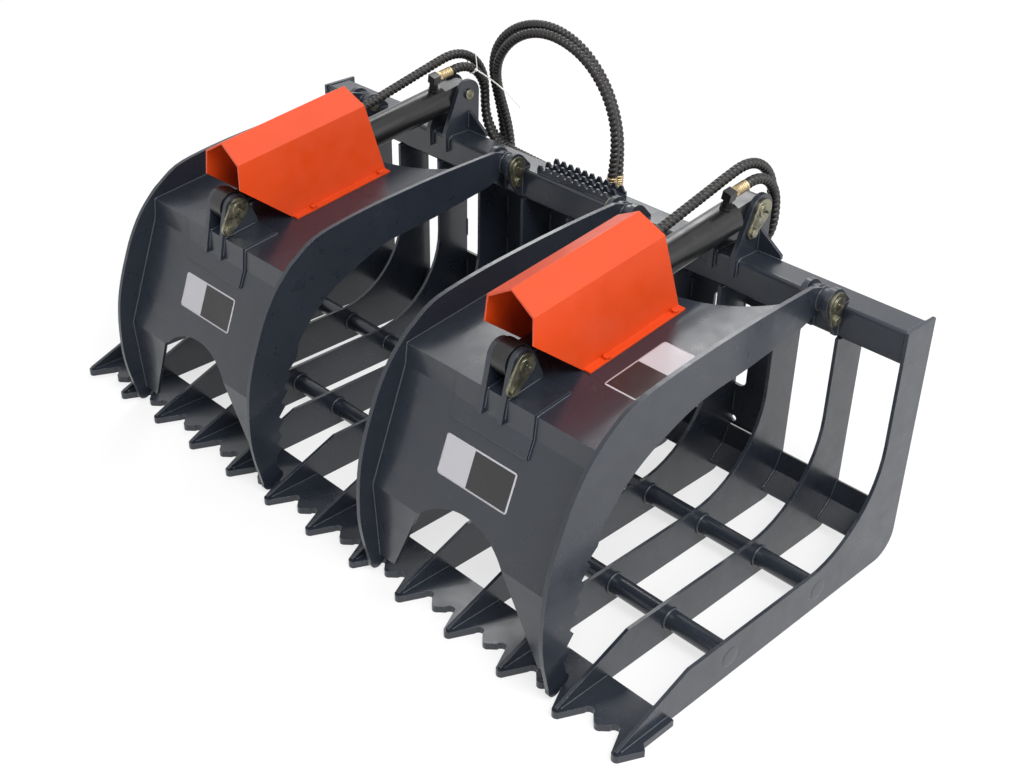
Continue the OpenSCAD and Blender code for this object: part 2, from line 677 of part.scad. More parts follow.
// Rod and piston; the rod ends in the rod eye's shank
piston_t = 34;
stroke_spare = 20;
eye_neck = 46;
rod_end_z = cyl_len - eye_neck;
piston_z = barrel_len - 2 * gland_t - piston_t - stroke_spare;
module rod(s) {
  color(steel) in_cylinder(s) {
    translate([0, 0, piston_z]) cylinder(d = rod_d, h = rod_end_z - piston_z);
    difference() {
      translate([0, 0, piston_z - piston_t / 2]) cylinder(r = bore_r - run_clear, h = piston_t);
      translate([0, 0, piston_z - weld_gap]) cylinder(r = rod_d / 2 + weld_gap, h = piston_t);
    }
  }
}

// Rod eye, bored wide because the closed linkage is opened at this pivot
open_clear = 7.3;
eye_bore_r = pin_d / 2 + open_clear;
eye_side = 1.8;
module rod_eye(s) {
  w = 2 * (bracket_ear_x - eye_side);
  color(black) in_cylinder(s) difference() {
    union() {
      translate([-w / 2, 0, cyl_len]) rotate([0, 90, 0]) cylinder(r = eye_r, h = w);
      translate([0, 0, rod_end_z - gland_t]) cylinder(d = rod_d * 1.3, h = eye_neck);
    }
    translate([-eye_w, 0, cyl_len]) rotate([0, 90, 0]) cylinder(r = eye_bore_r, h = 2 * eye_w);
    translate([0, 0, rod_end_z - gland_t - over]) cylinder(r = rod_d / 2 + weld_gap, h = gland_t + over + weld_gap);
  }
}

// Port fittings: a hex riser and square elbow on each port, a hex nut and crimped ferrule pointing back
elbow_s = 22;
riser_h = 18;
nut_t = 8;
ferrule_len = 34;
fit_base = barrel_d / 2 + port_h + weld_gap;
module fittings(s) {
  h = elbow_s / 2;
  in_cylinder(s) for (q = ports) at_port(q) translate([0, 0, fit_base]) {
    color(black) {
      cylinder(r = h, h = riser_h + over, $fn = 6);
      translate([-h, -h, riser_h]) cube([elbow_s, elbow_s, elbow_s]);
    }
    color(zinc) translate([0, h + weld_gap, riser_h + h]) rotate([-90, 0, 0]) {
      cylinder(r = h + over, h = nut_t, $fn = 6);
      translate([0, 0, nut_t / 2]) cylinder(r = h, h = nut_t / 2 + ferrule_len);
    }
  }
}

// An evenly bending curve past a list of points, from its first to its last, with n steps to each stretch
function bends(p, n) = let (m = len(p), q = concat([2 * p[0] - p[1]], p, [2 * p[m - 1] - p[m - 2]])) concat(
  [for (i = [1:m - 1], k = [0:n - 1]) let (t = k / n, r = 1 - t)
    (q[i - 1] * r * r * r + q[i] * (3 * t * t * t - 6 * t * t + 4)
      + q[i + 1] * (3 * r * r * r - 6 * r * r + 4) + q[i + 2] * t * t * t) / 6],
  [p[m - 1]]);

module hose(p) {
  color(black) tube(bends(p, 2), hose_d / 2, 8);
}

// A tube swept along points, its rings turned with the least twist
function unit(v) = v / norm(v);
function dirs(p) = [for (i = [0:len(p) - 1])
  unit(p[min(i + 1, len(p) - 1)] - p[max(i - 1, 0)])];
function sides(t, i, prev) = i >= len(t) ? [] :
  let (n = unit(prev - t[i] * (prev * t[i]))) concat([n], sides(t, i + 1, n));
module tube(p, r, n) {
  t = dirs(p);
  first = abs(t[0][2]) > 0.9 ? [1, 0, 0] : [0, 0, 1];
  q = sides(t, 0, first);
  m = len(p);
  polyhedron(
    points = [for (i = [0:m - 1], k = [0:n - 1]) let (a = 360 * k / n)
      p[i] + r * (cos(a) * q[i] + sin(a) * cross(t[i], q[i]))],
    faces = concat([[for (k = [0:n - 1]) k]],
      [for (i = [0:m - 2], k = [0:n - 1]) let (j = (k + 1) % n)
        [i * n + j, i * n + k, (i + 1) * n + k, (i + 1) * n + j]],
      [[for (k = [n - 1:-1:0]) (m - 1) * n + k]]));
}

// Hose routes, points chosen by hand in the part's own frame
right_base_route = [
  [476.3, 360.3, 749], [476.3, 368.2, 750], [476.3, 376.2, 751], [476.3, 388.1, 751.7],
  [476.3, 404, 750.3], [476.3, 423.2, 744.6], [476.3, 443.8, 732.4], [476.3, 463.6, 711],
  [476.3, 475.6, 684.4], [476.3, 478.8, 655.3], [476.2, 478.8, 625.9], [470.8, 478.2, 597.2],
  [457.4, 476.8, 571.3], [437, 474.7, 550.4], [411.5, 472.1, 536.3], [383.1, 469.2, 530.2],
  [353.9, 466.1, 530], [324.7, 463.1, 530], [295.6, 460.1, 530], [266.4, 457.1, 530],
  [237.2, 454.1, 530], [208, 451.1, 530], [178.8, 448.1, 530], [149.6, 445.1, 530], [126.7, 442.7, 530],
  [107.8, 441.3, 530], [92.8, 441, 530], [82.8, 441, 530], [72.8, 441, 530]];
right_rod_route = [
  [457.2, 63.5, 713.4], [457.2, 71.4, 714.4], [457.2, 79.4, 715.4], [457.2, 91.2, 717.1],
  [457, 107, 719.7], [456.5, 126.6, 723.7], [455.8, 150.1, 728.8], [455, 178.5, 735],
  [454.2, 206.9, 741.3], [453.4, 235.3, 747.5], [452.6, 263.8, 753.7], [451.8, 292.2, 760],
  [450.9, 320.6, 766.2], [450.1, 349, 772.4], [449.9, 377.6, 777.6], [449.9, 406.7, 776.3],
  [449.9, 434.4, 767.8], [449.9, 459.1, 752.6], [449.9, 479.3, 731.6], [449.9, 493.5, 706.3],
  [449.9, 501, 678.3], [449.9, 502, 649.2], [449.4, 501.9, 620.1], [442.4, 501.2, 592],
  [427.7, 499.5, 567], [406.5, 497.1, 547.4], [380.6, 494.2, 534.7], [352.1, 491, 530],
  [323.2, 487.8, 530], [294.2, 484.5, 530], [265.3, 481.3, 530], [236.4, 478, 530], [207.5, 474.8, 530],
  [178.5, 471.5, 530], [149.6, 468.3, 530], [126.7, 465.7, 530], [107.8, 464.3, 530], [92.8, 464, 530],
  [82.8, 464, 530], [72.8, 464, 530]];
left_base_route = [
  [-438.1, 360.3, 749], [-438.1, 368.2, 750], [-438.1, 376.2, 751], [-438.1, 388.1, 751.7],
  [-438.1, 404, 750.3], [-438.1, 423.2, 744.6], [-438.1, 443.8, 732.4], [-438.1, 463.9, 710.6],
  [-438.1, 475.9, 683.5], [-438.1, 478.8, 653.9], [-437.9, 478.8, 624.1], [-431.8, 478.2, 595.1],
  [-417.5, 476.8, 569.1], [-396.2, 474.9, 548.5], [-369.8, 472.4, 535.1], [-340.7, 469.7, 530],
  [-311, 466.9, 530], [-281.4, 464.2, 530], [-251.7, 461.4, 530], [-222, 458.6, 530],
  [-192.3, 455.9, 530], [-162.7, 453.1, 530], [-133, 450.3, 530], [-103.3, 447.6, 530],
  [-73.6, 444.8, 530], [-50.7, 442.7, 530], [-31.8, 441.3, 530], [-16.8, 441, 530], [-6.8, 441, 530],
  [3.2, 441, 530]];
left_rod_route = [
  [-457.2, 63.5, 713.4], [-457.2, 71.4, 714.4], [-457.2, 79.4, 715.4], [-457.2, 91.2, 717.1],
  [-457.4, 107, 719.7], [-457.9, 126.6, 723.7], [-458.5, 150.1, 728.8], [-459.3, 181.7, 735.6],
  [-460.2, 213.4, 742.5], [-461, 245, 749.4], [-461.9, 276.6, 756.3], [-462.7, 308.3, 763.1],
  [-463.5, 339.9, 770], [-464.1, 371.6, 776.7], [-464.1, 403.9, 777], [-464.1, 435, 768.4],
  [-464.1, 462.5, 751.4], [-464.1, 484.2, 727.5], [-464.1, 498.4, 698.5], [-464.1, 503.9, 666.7],
  [-464.1, 504, 634.3], [-460.2, 503.6, 602.3], [-446.4, 502.4, 573.1], [-424.2, 500.3, 549.9],
  [-395.7, 497.7, 535], [-363.9, 494.7, 530], [-331.7, 491.7, 530], [-299.4, 488.7, 530],
  [-267.2, 485.7, 530], [-234.9, 482.8, 530], [-202.7, 479.8, 530], [-170.4, 476.8, 530],
  [-138.2, 473.8, 530], [-105.9, 470.8, 530], [-73.6, 467.8, 530], [-50.7, 465.7, 530],
  [-31.8, 464.3, 530], [-16.8, 464, 530], [-6.8, 464, 530], [3.2, 464, 530]];
supply_a_route = [
  [38, 441, 564.2], [38, 441, 572.2], [38, 441, 580.2], [38, 441, 592.2], [38.7, 441.7, 608.2],
  [39.7, 442.9, 628.1], [40.1, 444.5, 652.1], [37.9, 446.4, 687.8], [31.2, 447.2, 722.9],
  [19.2, 447, 756.7], [1.6, 447, 787.8], [-20.8, 447, 815.8], [-47.3, 447, 839.8], [-77.6, 447, 858.9],
  [-110.8, 447, 872.4], [-145.6, 447, 880.8], [-181.3, 447, 884.1], [-217, 447, 881.2],
  [-251.6, 447, 872.1], [-284.1, 447, 857.1], [-313.4, 447.1, 836.5], [-338.7, 448, 811.2],
  [-359.4, 451.1, 782.2], [-374.5, 457.8, 750.5], [-384.1, 468.2, 717.6], [-389.7, 480.9, 684.5],
  [-392.4, 494.3, 651.4], [-393, 506.9, 617.8], [-392.1, 517.1, 583.5], [-390.6, 524.2, 548.4],
  [-389.3, 528, 512.8], [-389, 529.1, 477], [-389, 529, 454], [-389, 529, 435], [-389, 529, 420],
  [-389, 529, 410], [-389, 529, 400]];
supply_b_route = [
  [38, 464, 564.2], [38, 464, 572.2], [38, 464, 580.2], [38, 464, 592.2], [37.3, 464.7, 608.2],
  [35.2, 466.9, 627.9], [31.8, 470.2, 651.5], [26.7, 472, 686.6], [17.9, 472, 720.9], [4.8, 472, 754],
  [-12.4, 472, 785], [-33.9, 472, 813.2], [-59.4, 472, 838], [-88, 472, 859], [-119.5, 472, 875.3],
  [-153.2, 472, 886.4], [-188.2, 472, 892.2], [-223.7, 472, 892.3], [-258.8, 472, 886.8],
  [-292.7, 471.9, 876.4], [-324.8, 472.1, 861.1], [-353.8, 472.9, 840.7], [-378.9, 474.4, 815.7],
  [-398.8, 477.3, 786.5], [-412.3, 482.6, 754.1], [-420.1, 490.8, 720.5], [-423.4, 500.9, 686.6],
  [-424, 511.2, 652.6], [-423.2, 520.1, 618.2], [-421.1, 526.3, 583.3], [-418.8, 529.3, 548],
  [-417.9, 530.1, 512.5], [-418, 530, 477], [-418, 530, 454], [-418, 530, 435], [-418, 530, 420],
  [-418, 530, 410], [-418, 530, 400]];
coupler_len = 78;
coupler_r = 16;
module quick_couplers() {
  color(steel) for (r = [supply_a_route, supply_b_route]) translate(r[len(r) - 1]) rotate([180, 0, 0]) {
    translate([0, 0, weld_gap]) cylinder(r = coupler_r * 0.8, h = coupler_len * 0.4, $fn = 6);
    translate([0, 0, coupler_len * 0.3]) cylinder(r = coupler_r, h = coupler_len * 0.7);
  }
}

tine(0);  // tine_01
tine(1);  // tine_02
tine(2);  // tine_03
tine(3);  // tine_04
tine(4);  // tine_05
tine(5);  // tine_06
tine(6);  // tine_07
tine(7);  // tine_08
tine(8);  // tine_09
tine(9);  // tine_10
tine(10);  // tine_11
tine(11);  // tine_12
tine(12);  // tine_13
cutting_edge();
cross_pipes();
top_tube();
heel_plates();
quick_attach_plate();
step_tread();
claw_pivot_ears();
cylinder_towers();
claw_pivot_pins();
tower_pins();
hose_tees();
color(paint) claw_arm(-claw_x + arm_half);  // left_claw_inner_arm
color(paint) claw_arm(-claw_x - arm_half);  // left_claw_outer_arm
top_plate(-1);  // left_claw_top_plate
front_plate(-1);  // left_claw_front_plate
rod_bracket(-1);  // left_claw_rod_bracket
guard(-1);  // left_claw_guard
guard_bolts(-1);  // left_claw_guard_bolts
pivot_bushes(-1);  // left_claw_pivot_bushes
rod_pin(-1);  // left_claw_rod_pin
color(paint) claw_arm(claw_x - arm_half);  // right_claw_inner_arm
color(paint) claw_arm(claw_x + arm_half);  // right_claw_outer_arm
top_plate(1);  // right_claw_top_plate
front_plate(1);  // right_claw_front_plate
rod_bracket(1);  // right_claw_rod_bracket
guard(1);  // right_claw_guard
guard_bolts(1);  // right_claw_guard_bolts
pivot_bushes(1);  // right_claw_pivot_bushes
rod_pin(1);  // right_claw_rod_pin
barrel(-1);  // left_cylinder_barrel
gland(-1);  // left_cylinder_gland
fittings(-1);  // left_cylinder_fittings
rod(-1);  // left_cylinder_rod
rod_eye(-1);  // left_cylinder_rod_eye
barrel(1);  // right_cylinder_barrel
gland(1);  // right_cylinder_gland
fittings(1);  // right_cylinder_fittings
rod(1);  // right_cylinder_rod
rod_eye(1);  // right_cylinder_rod_eye
hose(left_base_route);  // left_base_hose
hose(left_rod_route);  // left_rod_hose
hose(right_base_route);  // right_base_hose
hose(right_rod_route);  // right_rod_hose
hose(supply_a_route);  // supply_hose_a
hose(supply_b_route);  // supply_hose_b
quick_couplers();
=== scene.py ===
# Looks of the skeleton grapple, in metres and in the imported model's own frame. The sections that say
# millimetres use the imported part's own dimensions.
import json
import math
import random

import bmesh
import bpy
from mathutils import Matrix, Vector


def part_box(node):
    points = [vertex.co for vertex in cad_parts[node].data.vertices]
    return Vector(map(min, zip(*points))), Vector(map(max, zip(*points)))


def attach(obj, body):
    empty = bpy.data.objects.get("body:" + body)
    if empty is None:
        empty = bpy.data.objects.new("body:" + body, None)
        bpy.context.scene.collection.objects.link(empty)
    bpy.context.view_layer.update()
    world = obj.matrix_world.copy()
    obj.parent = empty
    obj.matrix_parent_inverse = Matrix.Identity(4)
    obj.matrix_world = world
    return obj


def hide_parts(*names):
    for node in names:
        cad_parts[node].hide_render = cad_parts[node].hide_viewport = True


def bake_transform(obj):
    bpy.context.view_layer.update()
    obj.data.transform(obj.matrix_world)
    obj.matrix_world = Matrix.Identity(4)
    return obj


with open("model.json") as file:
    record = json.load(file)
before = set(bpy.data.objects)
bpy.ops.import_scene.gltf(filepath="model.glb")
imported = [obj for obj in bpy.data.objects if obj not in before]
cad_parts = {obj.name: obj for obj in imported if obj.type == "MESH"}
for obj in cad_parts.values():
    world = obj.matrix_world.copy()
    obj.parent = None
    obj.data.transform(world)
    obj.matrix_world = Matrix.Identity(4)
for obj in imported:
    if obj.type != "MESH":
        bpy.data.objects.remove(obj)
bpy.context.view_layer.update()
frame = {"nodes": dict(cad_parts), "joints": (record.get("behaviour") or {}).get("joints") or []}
scene = bpy.context.scene
random.seed(7)

# Camera, solved from the tines, the edge plate and the square tube in the photograph
CAMERA_PLACE = (2.0687, -1.9108, 1.9708)
CAMERA_RIGHT = (0.69958, 0.71434, 0.01692)
CAMERA_AHEAD = (-0.59777, 0.59806, -0.53384)

cam_data = bpy.data.cameras.new("view")
cam = bpy.data.objects.new("view", cam_data)
scene.collection.objects.link(cam)
right = Vector(CAMERA_RIGHT).normalized()
ahead = Vector(CAMERA_AHEAD).normalized()
turn = Matrix((right, right.cross(ahead).normalized(), -ahead)).transposed()
cam.matrix_world = Matrix.Translation(CAMERA_PLACE) @ turn.to_4x4()
cam_data.sensor_width = 36.0
cam_data.lens = 49.91
cam_data.clip_start = 0.05
cam_data.clip_end = 150.0
scene.camera = cam


# Meshes
def link(obj):
    scene.collection.objects.link(obj)
    return obj


def mesh_object(name, verts, faces, mat=None, smooth=True):
    me = bpy.data.meshes.new(name)
    me.from_pydata([tuple(v) for v in verts], [], faces)
    me.update()
    if smooth:
        me.polygons.foreach_set("use_smooth", [True] * len(me.polygons))
    ob = link(bpy.data.objects.new(name, me))
    if mat is not None:
        me.materials.append(mat)
    return ob


def bends(points, n):
    """An evenly bending curve past the points, from the first to the last, n steps to each stretch."""
    p = [Vector(point) for point in points]
    q = [p[0] * 2 - p[1]] + p + [p[-1] * 2 - p[-2]]
    out = []
    for i in range(1, len(p)):
        for k in range(n):
            t = k / n
            r = 1 - t
            out.append((q[i - 1] * r ** 3 + q[i] * (3 * t ** 3 - 6 * t * t + 4)
                        + q[i + 1] * (3 * r ** 3 - 6 * r * r + 4) + q[i + 2] * t ** 3) / 6)
    out.append(p[-1])
    return out


def even(points, step):
    """The same line with points a step apart."""
    lens = [0.0]
    for a, b in zip(points, points[1:]):
        lens.append(lens[-1] + (b - a).length)
    count = max(2, round(lens[-1] / step))
    out, j = [], 0
    for k in range(count + 1):
        s = lens[-1] * k / count
        while j < len(lens) - 2 and lens[j + 1] < s:
            j += 1
        f = (s - lens[j]) / max(lens[j + 1] - lens[j], 1e-9)
        out.append(points[j].lerp(points[j + 1], min(max(f, 0), 1)))
    return out


def line_length(points):
    return sum((b - a).length for a, b in zip(points, points[1:]))


def square_to(axis, ref):
    """The part of ref that is square to the axis, at unit length."""
    return (ref - axis * ref.dot(axis)).normalized()


def frames(points):
    """Tangent and two normals at each point, turned with the least twist."""
    tans = [(points[min(i + 1, len(points) - 1)] - points[max(i - 1, 0)]).normalized()
            for i in range(len(points))]
    side = Vector((0, 0, 1)) if abs(tans[0].z) < 0.9 else Vector((1, 0, 0))
    out = []
    for t in tans:
        side = square_to(t, side)
        out.append((t, side, t.cross(side)))
    return out


def ring(centre, u, v, radii):
    """Points round a centre in the plane of u and v, one for each radius."""
    out = []
    for k, r in enumerate(radii):
        a = 2 * math.pi * k / len(radii)
        out.append(centre + u * (r * math.cos(a)) + v * (r * math.sin(a)))
    return out


def loft(first, rings, sides):
    """Faces over rings of vertices that begin at the first, and over both ends."""
    faces = []
    for i in range(rings - 1):
        a, b = first + i * sides, first + (i + 1) * sides
        for k in range(sides):
            j = (k + 1) % sides
            faces.append((a + k, a + j, b + j, b + k))
    faces.append(tuple(first + k for k in range(sides))[::-1])
    faces.append(tuple(first + (rings - 1) * sides + k for k in range(sides)))
    return faces


def tube(name, points, radius, sides, mat):
    """A closed tube along the points with radius(distance, angle)."""
    verts, s = [], 0.0
    angles = [2 * math.pi * k / sides for k in range(sides)]
    for i, (p, (t, u, v)) in enumerate(zip(points, frames(points))):
        if i:
            s += (p - points[i - 1]).length
        verts += ring(p, u, v, [radius(s, a) for a in angles])
    return mesh_object(name, verts, loft(0, len(points), sides), mat)


def turned(name, pieces, sides, mat, body):
    """Turned pieces in one mesh, each (base, axis, profile), the profile (run along the axis, radius)."""
    verts, faces = [], []
    for base, axis, profile in pieces:
        axis = Vector(axis).normalized()
        u = square_to(axis, Vector((1, 0, 0)) if abs(axis.x) < 0.9 else Vector((0, 0, 1)))
        v = axis.cross(u)
        faces += loft(len(verts), len(profile), sides)
        for run, r in profile:
            verts += ring(Vector(base) + axis * run, u, v, [r] * sides)
    ob = mesh_object(name, verts, faces, mat)
    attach(ob, body)


# Materials

# scales of the patterns in a painted or plated surface
DRIFT_SCALE = 6.0
SHEEN_SCALE = 21.0
DUST_SCALE = 38.0
TINT_SCALE = 55.0
# the scale of the lighter edge patches, which are rubbed wear and painted highlight
RUB_AND_HIGHLIGHT_SCALE = 90.0
PEEL_SCALE = 420.0
PEEL_DEPTH = 0.0006
DUST_RGB = (0.28, 0.27, 0.25)
BLACK, WHITE = (0, 0, 0), (1, 1, 1)


def nodes_of(mat):
    mat.use_nodes = True
    nt = mat.node_tree
    return nt, nt.nodes.get("Principled BSDF")


def add(nt, kind, **values):
    """A new node; a value goes to the input of that name, or else to the property."""
    n = nt.nodes.new(kind)
    for k, v in values.items():
        if k in n.inputs:
            n.inputs[k].default_value = v
        else:
            setattr(n, k, v)
    return n


def noise(nt, coord, scale, detail=4.0, rough=0.55):
    n = add(nt, "ShaderNodeTexNoise", Scale=scale, Detail=detail, Roughness=rough)
    nt.links.new(coord, n.inputs["Vector"])
    return n.outputs["Fac"]


def ramp(nt, fac, stops):
    r = add(nt, "ShaderNodeValToRGB")
    while len(r.color_ramp.elements) > 1:
        r.color_ramp.elements.remove(r.color_ramp.elements[-1])
    for i, (pos, col) in enumerate(stops):
        e = r.color_ramp.elements[0] if i == 0 else r.color_ramp.elements.new(pos)
        e.position = pos
        e.color = tuple(col) + (1.0,)
    nt.links.new(fac, r.inputs["Fac"])
    return r.outputs["Color"]


def grey(v):
    return (v,) * 3


def lin(*rgb):
    """Linear colour from 0 to 255 display values."""
    return tuple((c / 255 / 12.92) if c <= 10 else ((c / 255 + 0.055) / 1.055) ** 2.4 for c in rgb)


def scaled(rgb, k):
    return tuple(min(c * k, 1.0) for c in rgb)


def math_node(nt, operation, a, b):
    """A math node on two sockets, or on a socket and a number."""
    n = add(nt, "ShaderNodeMath", operation=operation)
    nt.links.new(a, n.inputs[0])
    if isinstance(b, float):
        n.inputs[1].default_value = b
    else:
        nt.links.new(b, n.inputs[1])
    return n.outputs[0]


def mixed(nt, fac, a, b):
    """Colour a turning into b with fac; either is a socket or a colour."""
    m = add(nt, "ShaderNodeMix", data_type="RGBA")
    nt.links.new(fac, m.inputs[0])
    for sock, v in ((m.inputs[6], a), (m.inputs[7], b)):
        if isinstance(v, tuple):
            sock.default_value = v + (1.0,)
        else:
            nt.links.new(v, sock)
    return m.outputs[2]


def coated(name, rgb, rough, coat, peel=0.05, spread=0.12, metal=0.0, dust=0.0, edge=None, round_r=0.0012,
           tint=None):
    """Painted or plated steel: orange peel, slow colour drift, dusty patches, and lighter edges of rubbed
    wear and painted highlight.
    """
    mat = bpy.data.materials.new(name)
    nt, b = nodes_of(mat)
    co = add(nt, "ShaderNodeTexCoord").outputs["Object"]
    drift = noise(nt, co, DRIFT_SCALE, 3.0)
    col = ramp(nt, drift, [(0.3, scaled(rgb, 1 - spread)), (0.72, scaled(rgb, 1 + spread))])
    if tint:
        blotch = ramp(nt, noise(nt, co, TINT_SCALE, 3.0), [(0.42, BLACK), (0.62, WHITE)])
        col = mixed(nt, blotch, col, tint)
    if dust:
        spots = ramp(nt, noise(nt, co, DUST_SCALE, 8.0, 0.7), [(0.6, BLACK), (0.8, grey(dust))])
        col = mixed(nt, spots, col, DUST_RGB)
    soft = None
    if edge:
        # an edge is where the rounded normal leaves the flat one
        soft = add(nt, "ShaderNodeBevel", samples=4, Radius=round_r).outputs["Normal"]
        dot = add(nt, "ShaderNodeVectorMath", operation="DOT_PRODUCT")
        nt.links.new(soft, dot.inputs[0])
        nt.links.new(add(nt, "ShaderNodeNewGeometry").outputs["Normal"], dot.inputs[1])
        # edges are lighter in patches: rubbed wear, and painted highlight where an edge would catch the light
        rub_and_highlight = ramp(nt, dot.outputs["Value"], [(0.80, WHITE), (0.985, BLACK)])
        patch = ramp(nt, noise(nt, co, RUB_AND_HIGHLIGHT_SCALE, 5.0, 0.65), [(0.36, grey(0.25)), (0.62, grey(0.9))])
        col = mixed(nt, math_node(nt, "MULTIPLY", rub_and_highlight, patch), col, edge)
    nt.links.new(col, b.inputs["Base Color"])
    sheen = noise(nt, co, SHEEN_SCALE, 5.0, 0.6)
    nt.links.new(ramp(nt, sheen, [(0.3, grey(rough * 0.8)), (0.75, grey(min(rough * 1.35, 1)))]),
                 b.inputs["Roughness"])
    b.inputs["Metallic"].default_value = metal
    b.inputs["Coat Weight"].default_value = coat
    b.inputs["Coat Roughness"].default_value = 0.1
    skin_bump = add(nt, "ShaderNodeBump", Strength=peel, Distance=PEEL_DEPTH)
    nt.links.new(noise(nt, co, PEEL_SCALE, 2.0), skin_bump.inputs["Height"])
    if soft is not None:
        nt.links.new(soft, skin_bump.inputs["Normal"])
    nt.links.new(skin_bump.outputs["Normal"], b.inputs["Normal"])
    return mat


CHARCOAL = lin(35, 40, 49)
# each edge colour is lighter than its finish: rubbed wear and painted highlight on the edges
M = {
    "paint": coated("charcoal_gloss", CHARCOAL, 0.3, 0.18, dust=0.1, edge=lin(98, 103, 112)),
    "dressed": coated("charcoal_dressed", CHARCOAL, 0.3, 0.18),
    # the welds are painted charcoal like the plates; their lighter grey is painted highlight on the beads
    "weld": coated("painted_weld", lin(54, 59, 68), 0.3, 0.18, peel=0.15, spread=0.25, dust=0.3),
    "orange": coated("orange_gloss", lin(205, 64, 11), 0.42, 0.06, spread=0.05, edge=lin(236, 104, 44)),
    "black": coated("black_gloss", lin(15, 15, 16), 0.34, 0.16, dust=0.12, edge=lin(58, 58, 60)),
    "zinc": coated("yellow_zinc", lin(142, 139, 120), 0.34, 0.0, spread=0.3, metal=0.9, peel=0.08,
                   edge=lin(206, 202, 180), tint=lin(88, 86, 72)),
    "steel": coated("plated_steel", lin(168, 168, 164), 0.36, 0.0, spread=0.15, metal=0.95,
                    edge=lin(214, 214, 210)),
    "brass": coated("brass_plate", lin(188, 168, 130), 0.36, 0.0, spread=0.15, metal=0.95,
                    edge=lin(232, 222, 196)),
    "chrome": coated("chrome_rod", lin(205, 206, 208), 0.12, 0.0, spread=0.03, metal=1.0, peel=0.0),
    "hose": coated("hose_wrap", lin(23, 20, 19), 0.44, 0.08, spread=0.3, peel=0.15, dust=0.14,
                   edge=lin(58, 52, 49), round_r=0.0008),
    "tie": coated("white_nylon", lin(220, 220, 216), 0.4, 0.0, spread=0.03),
    "vinyl": coated("white_vinyl", lin(178, 177, 182), 0.4, 0.1, spread=0.03, dust=0.1),
    "ink": coated("dark_vinyl", lin(34, 33, 35), 0.4, 0.1, spread=0.1, dust=0.2),
}

# Hoses

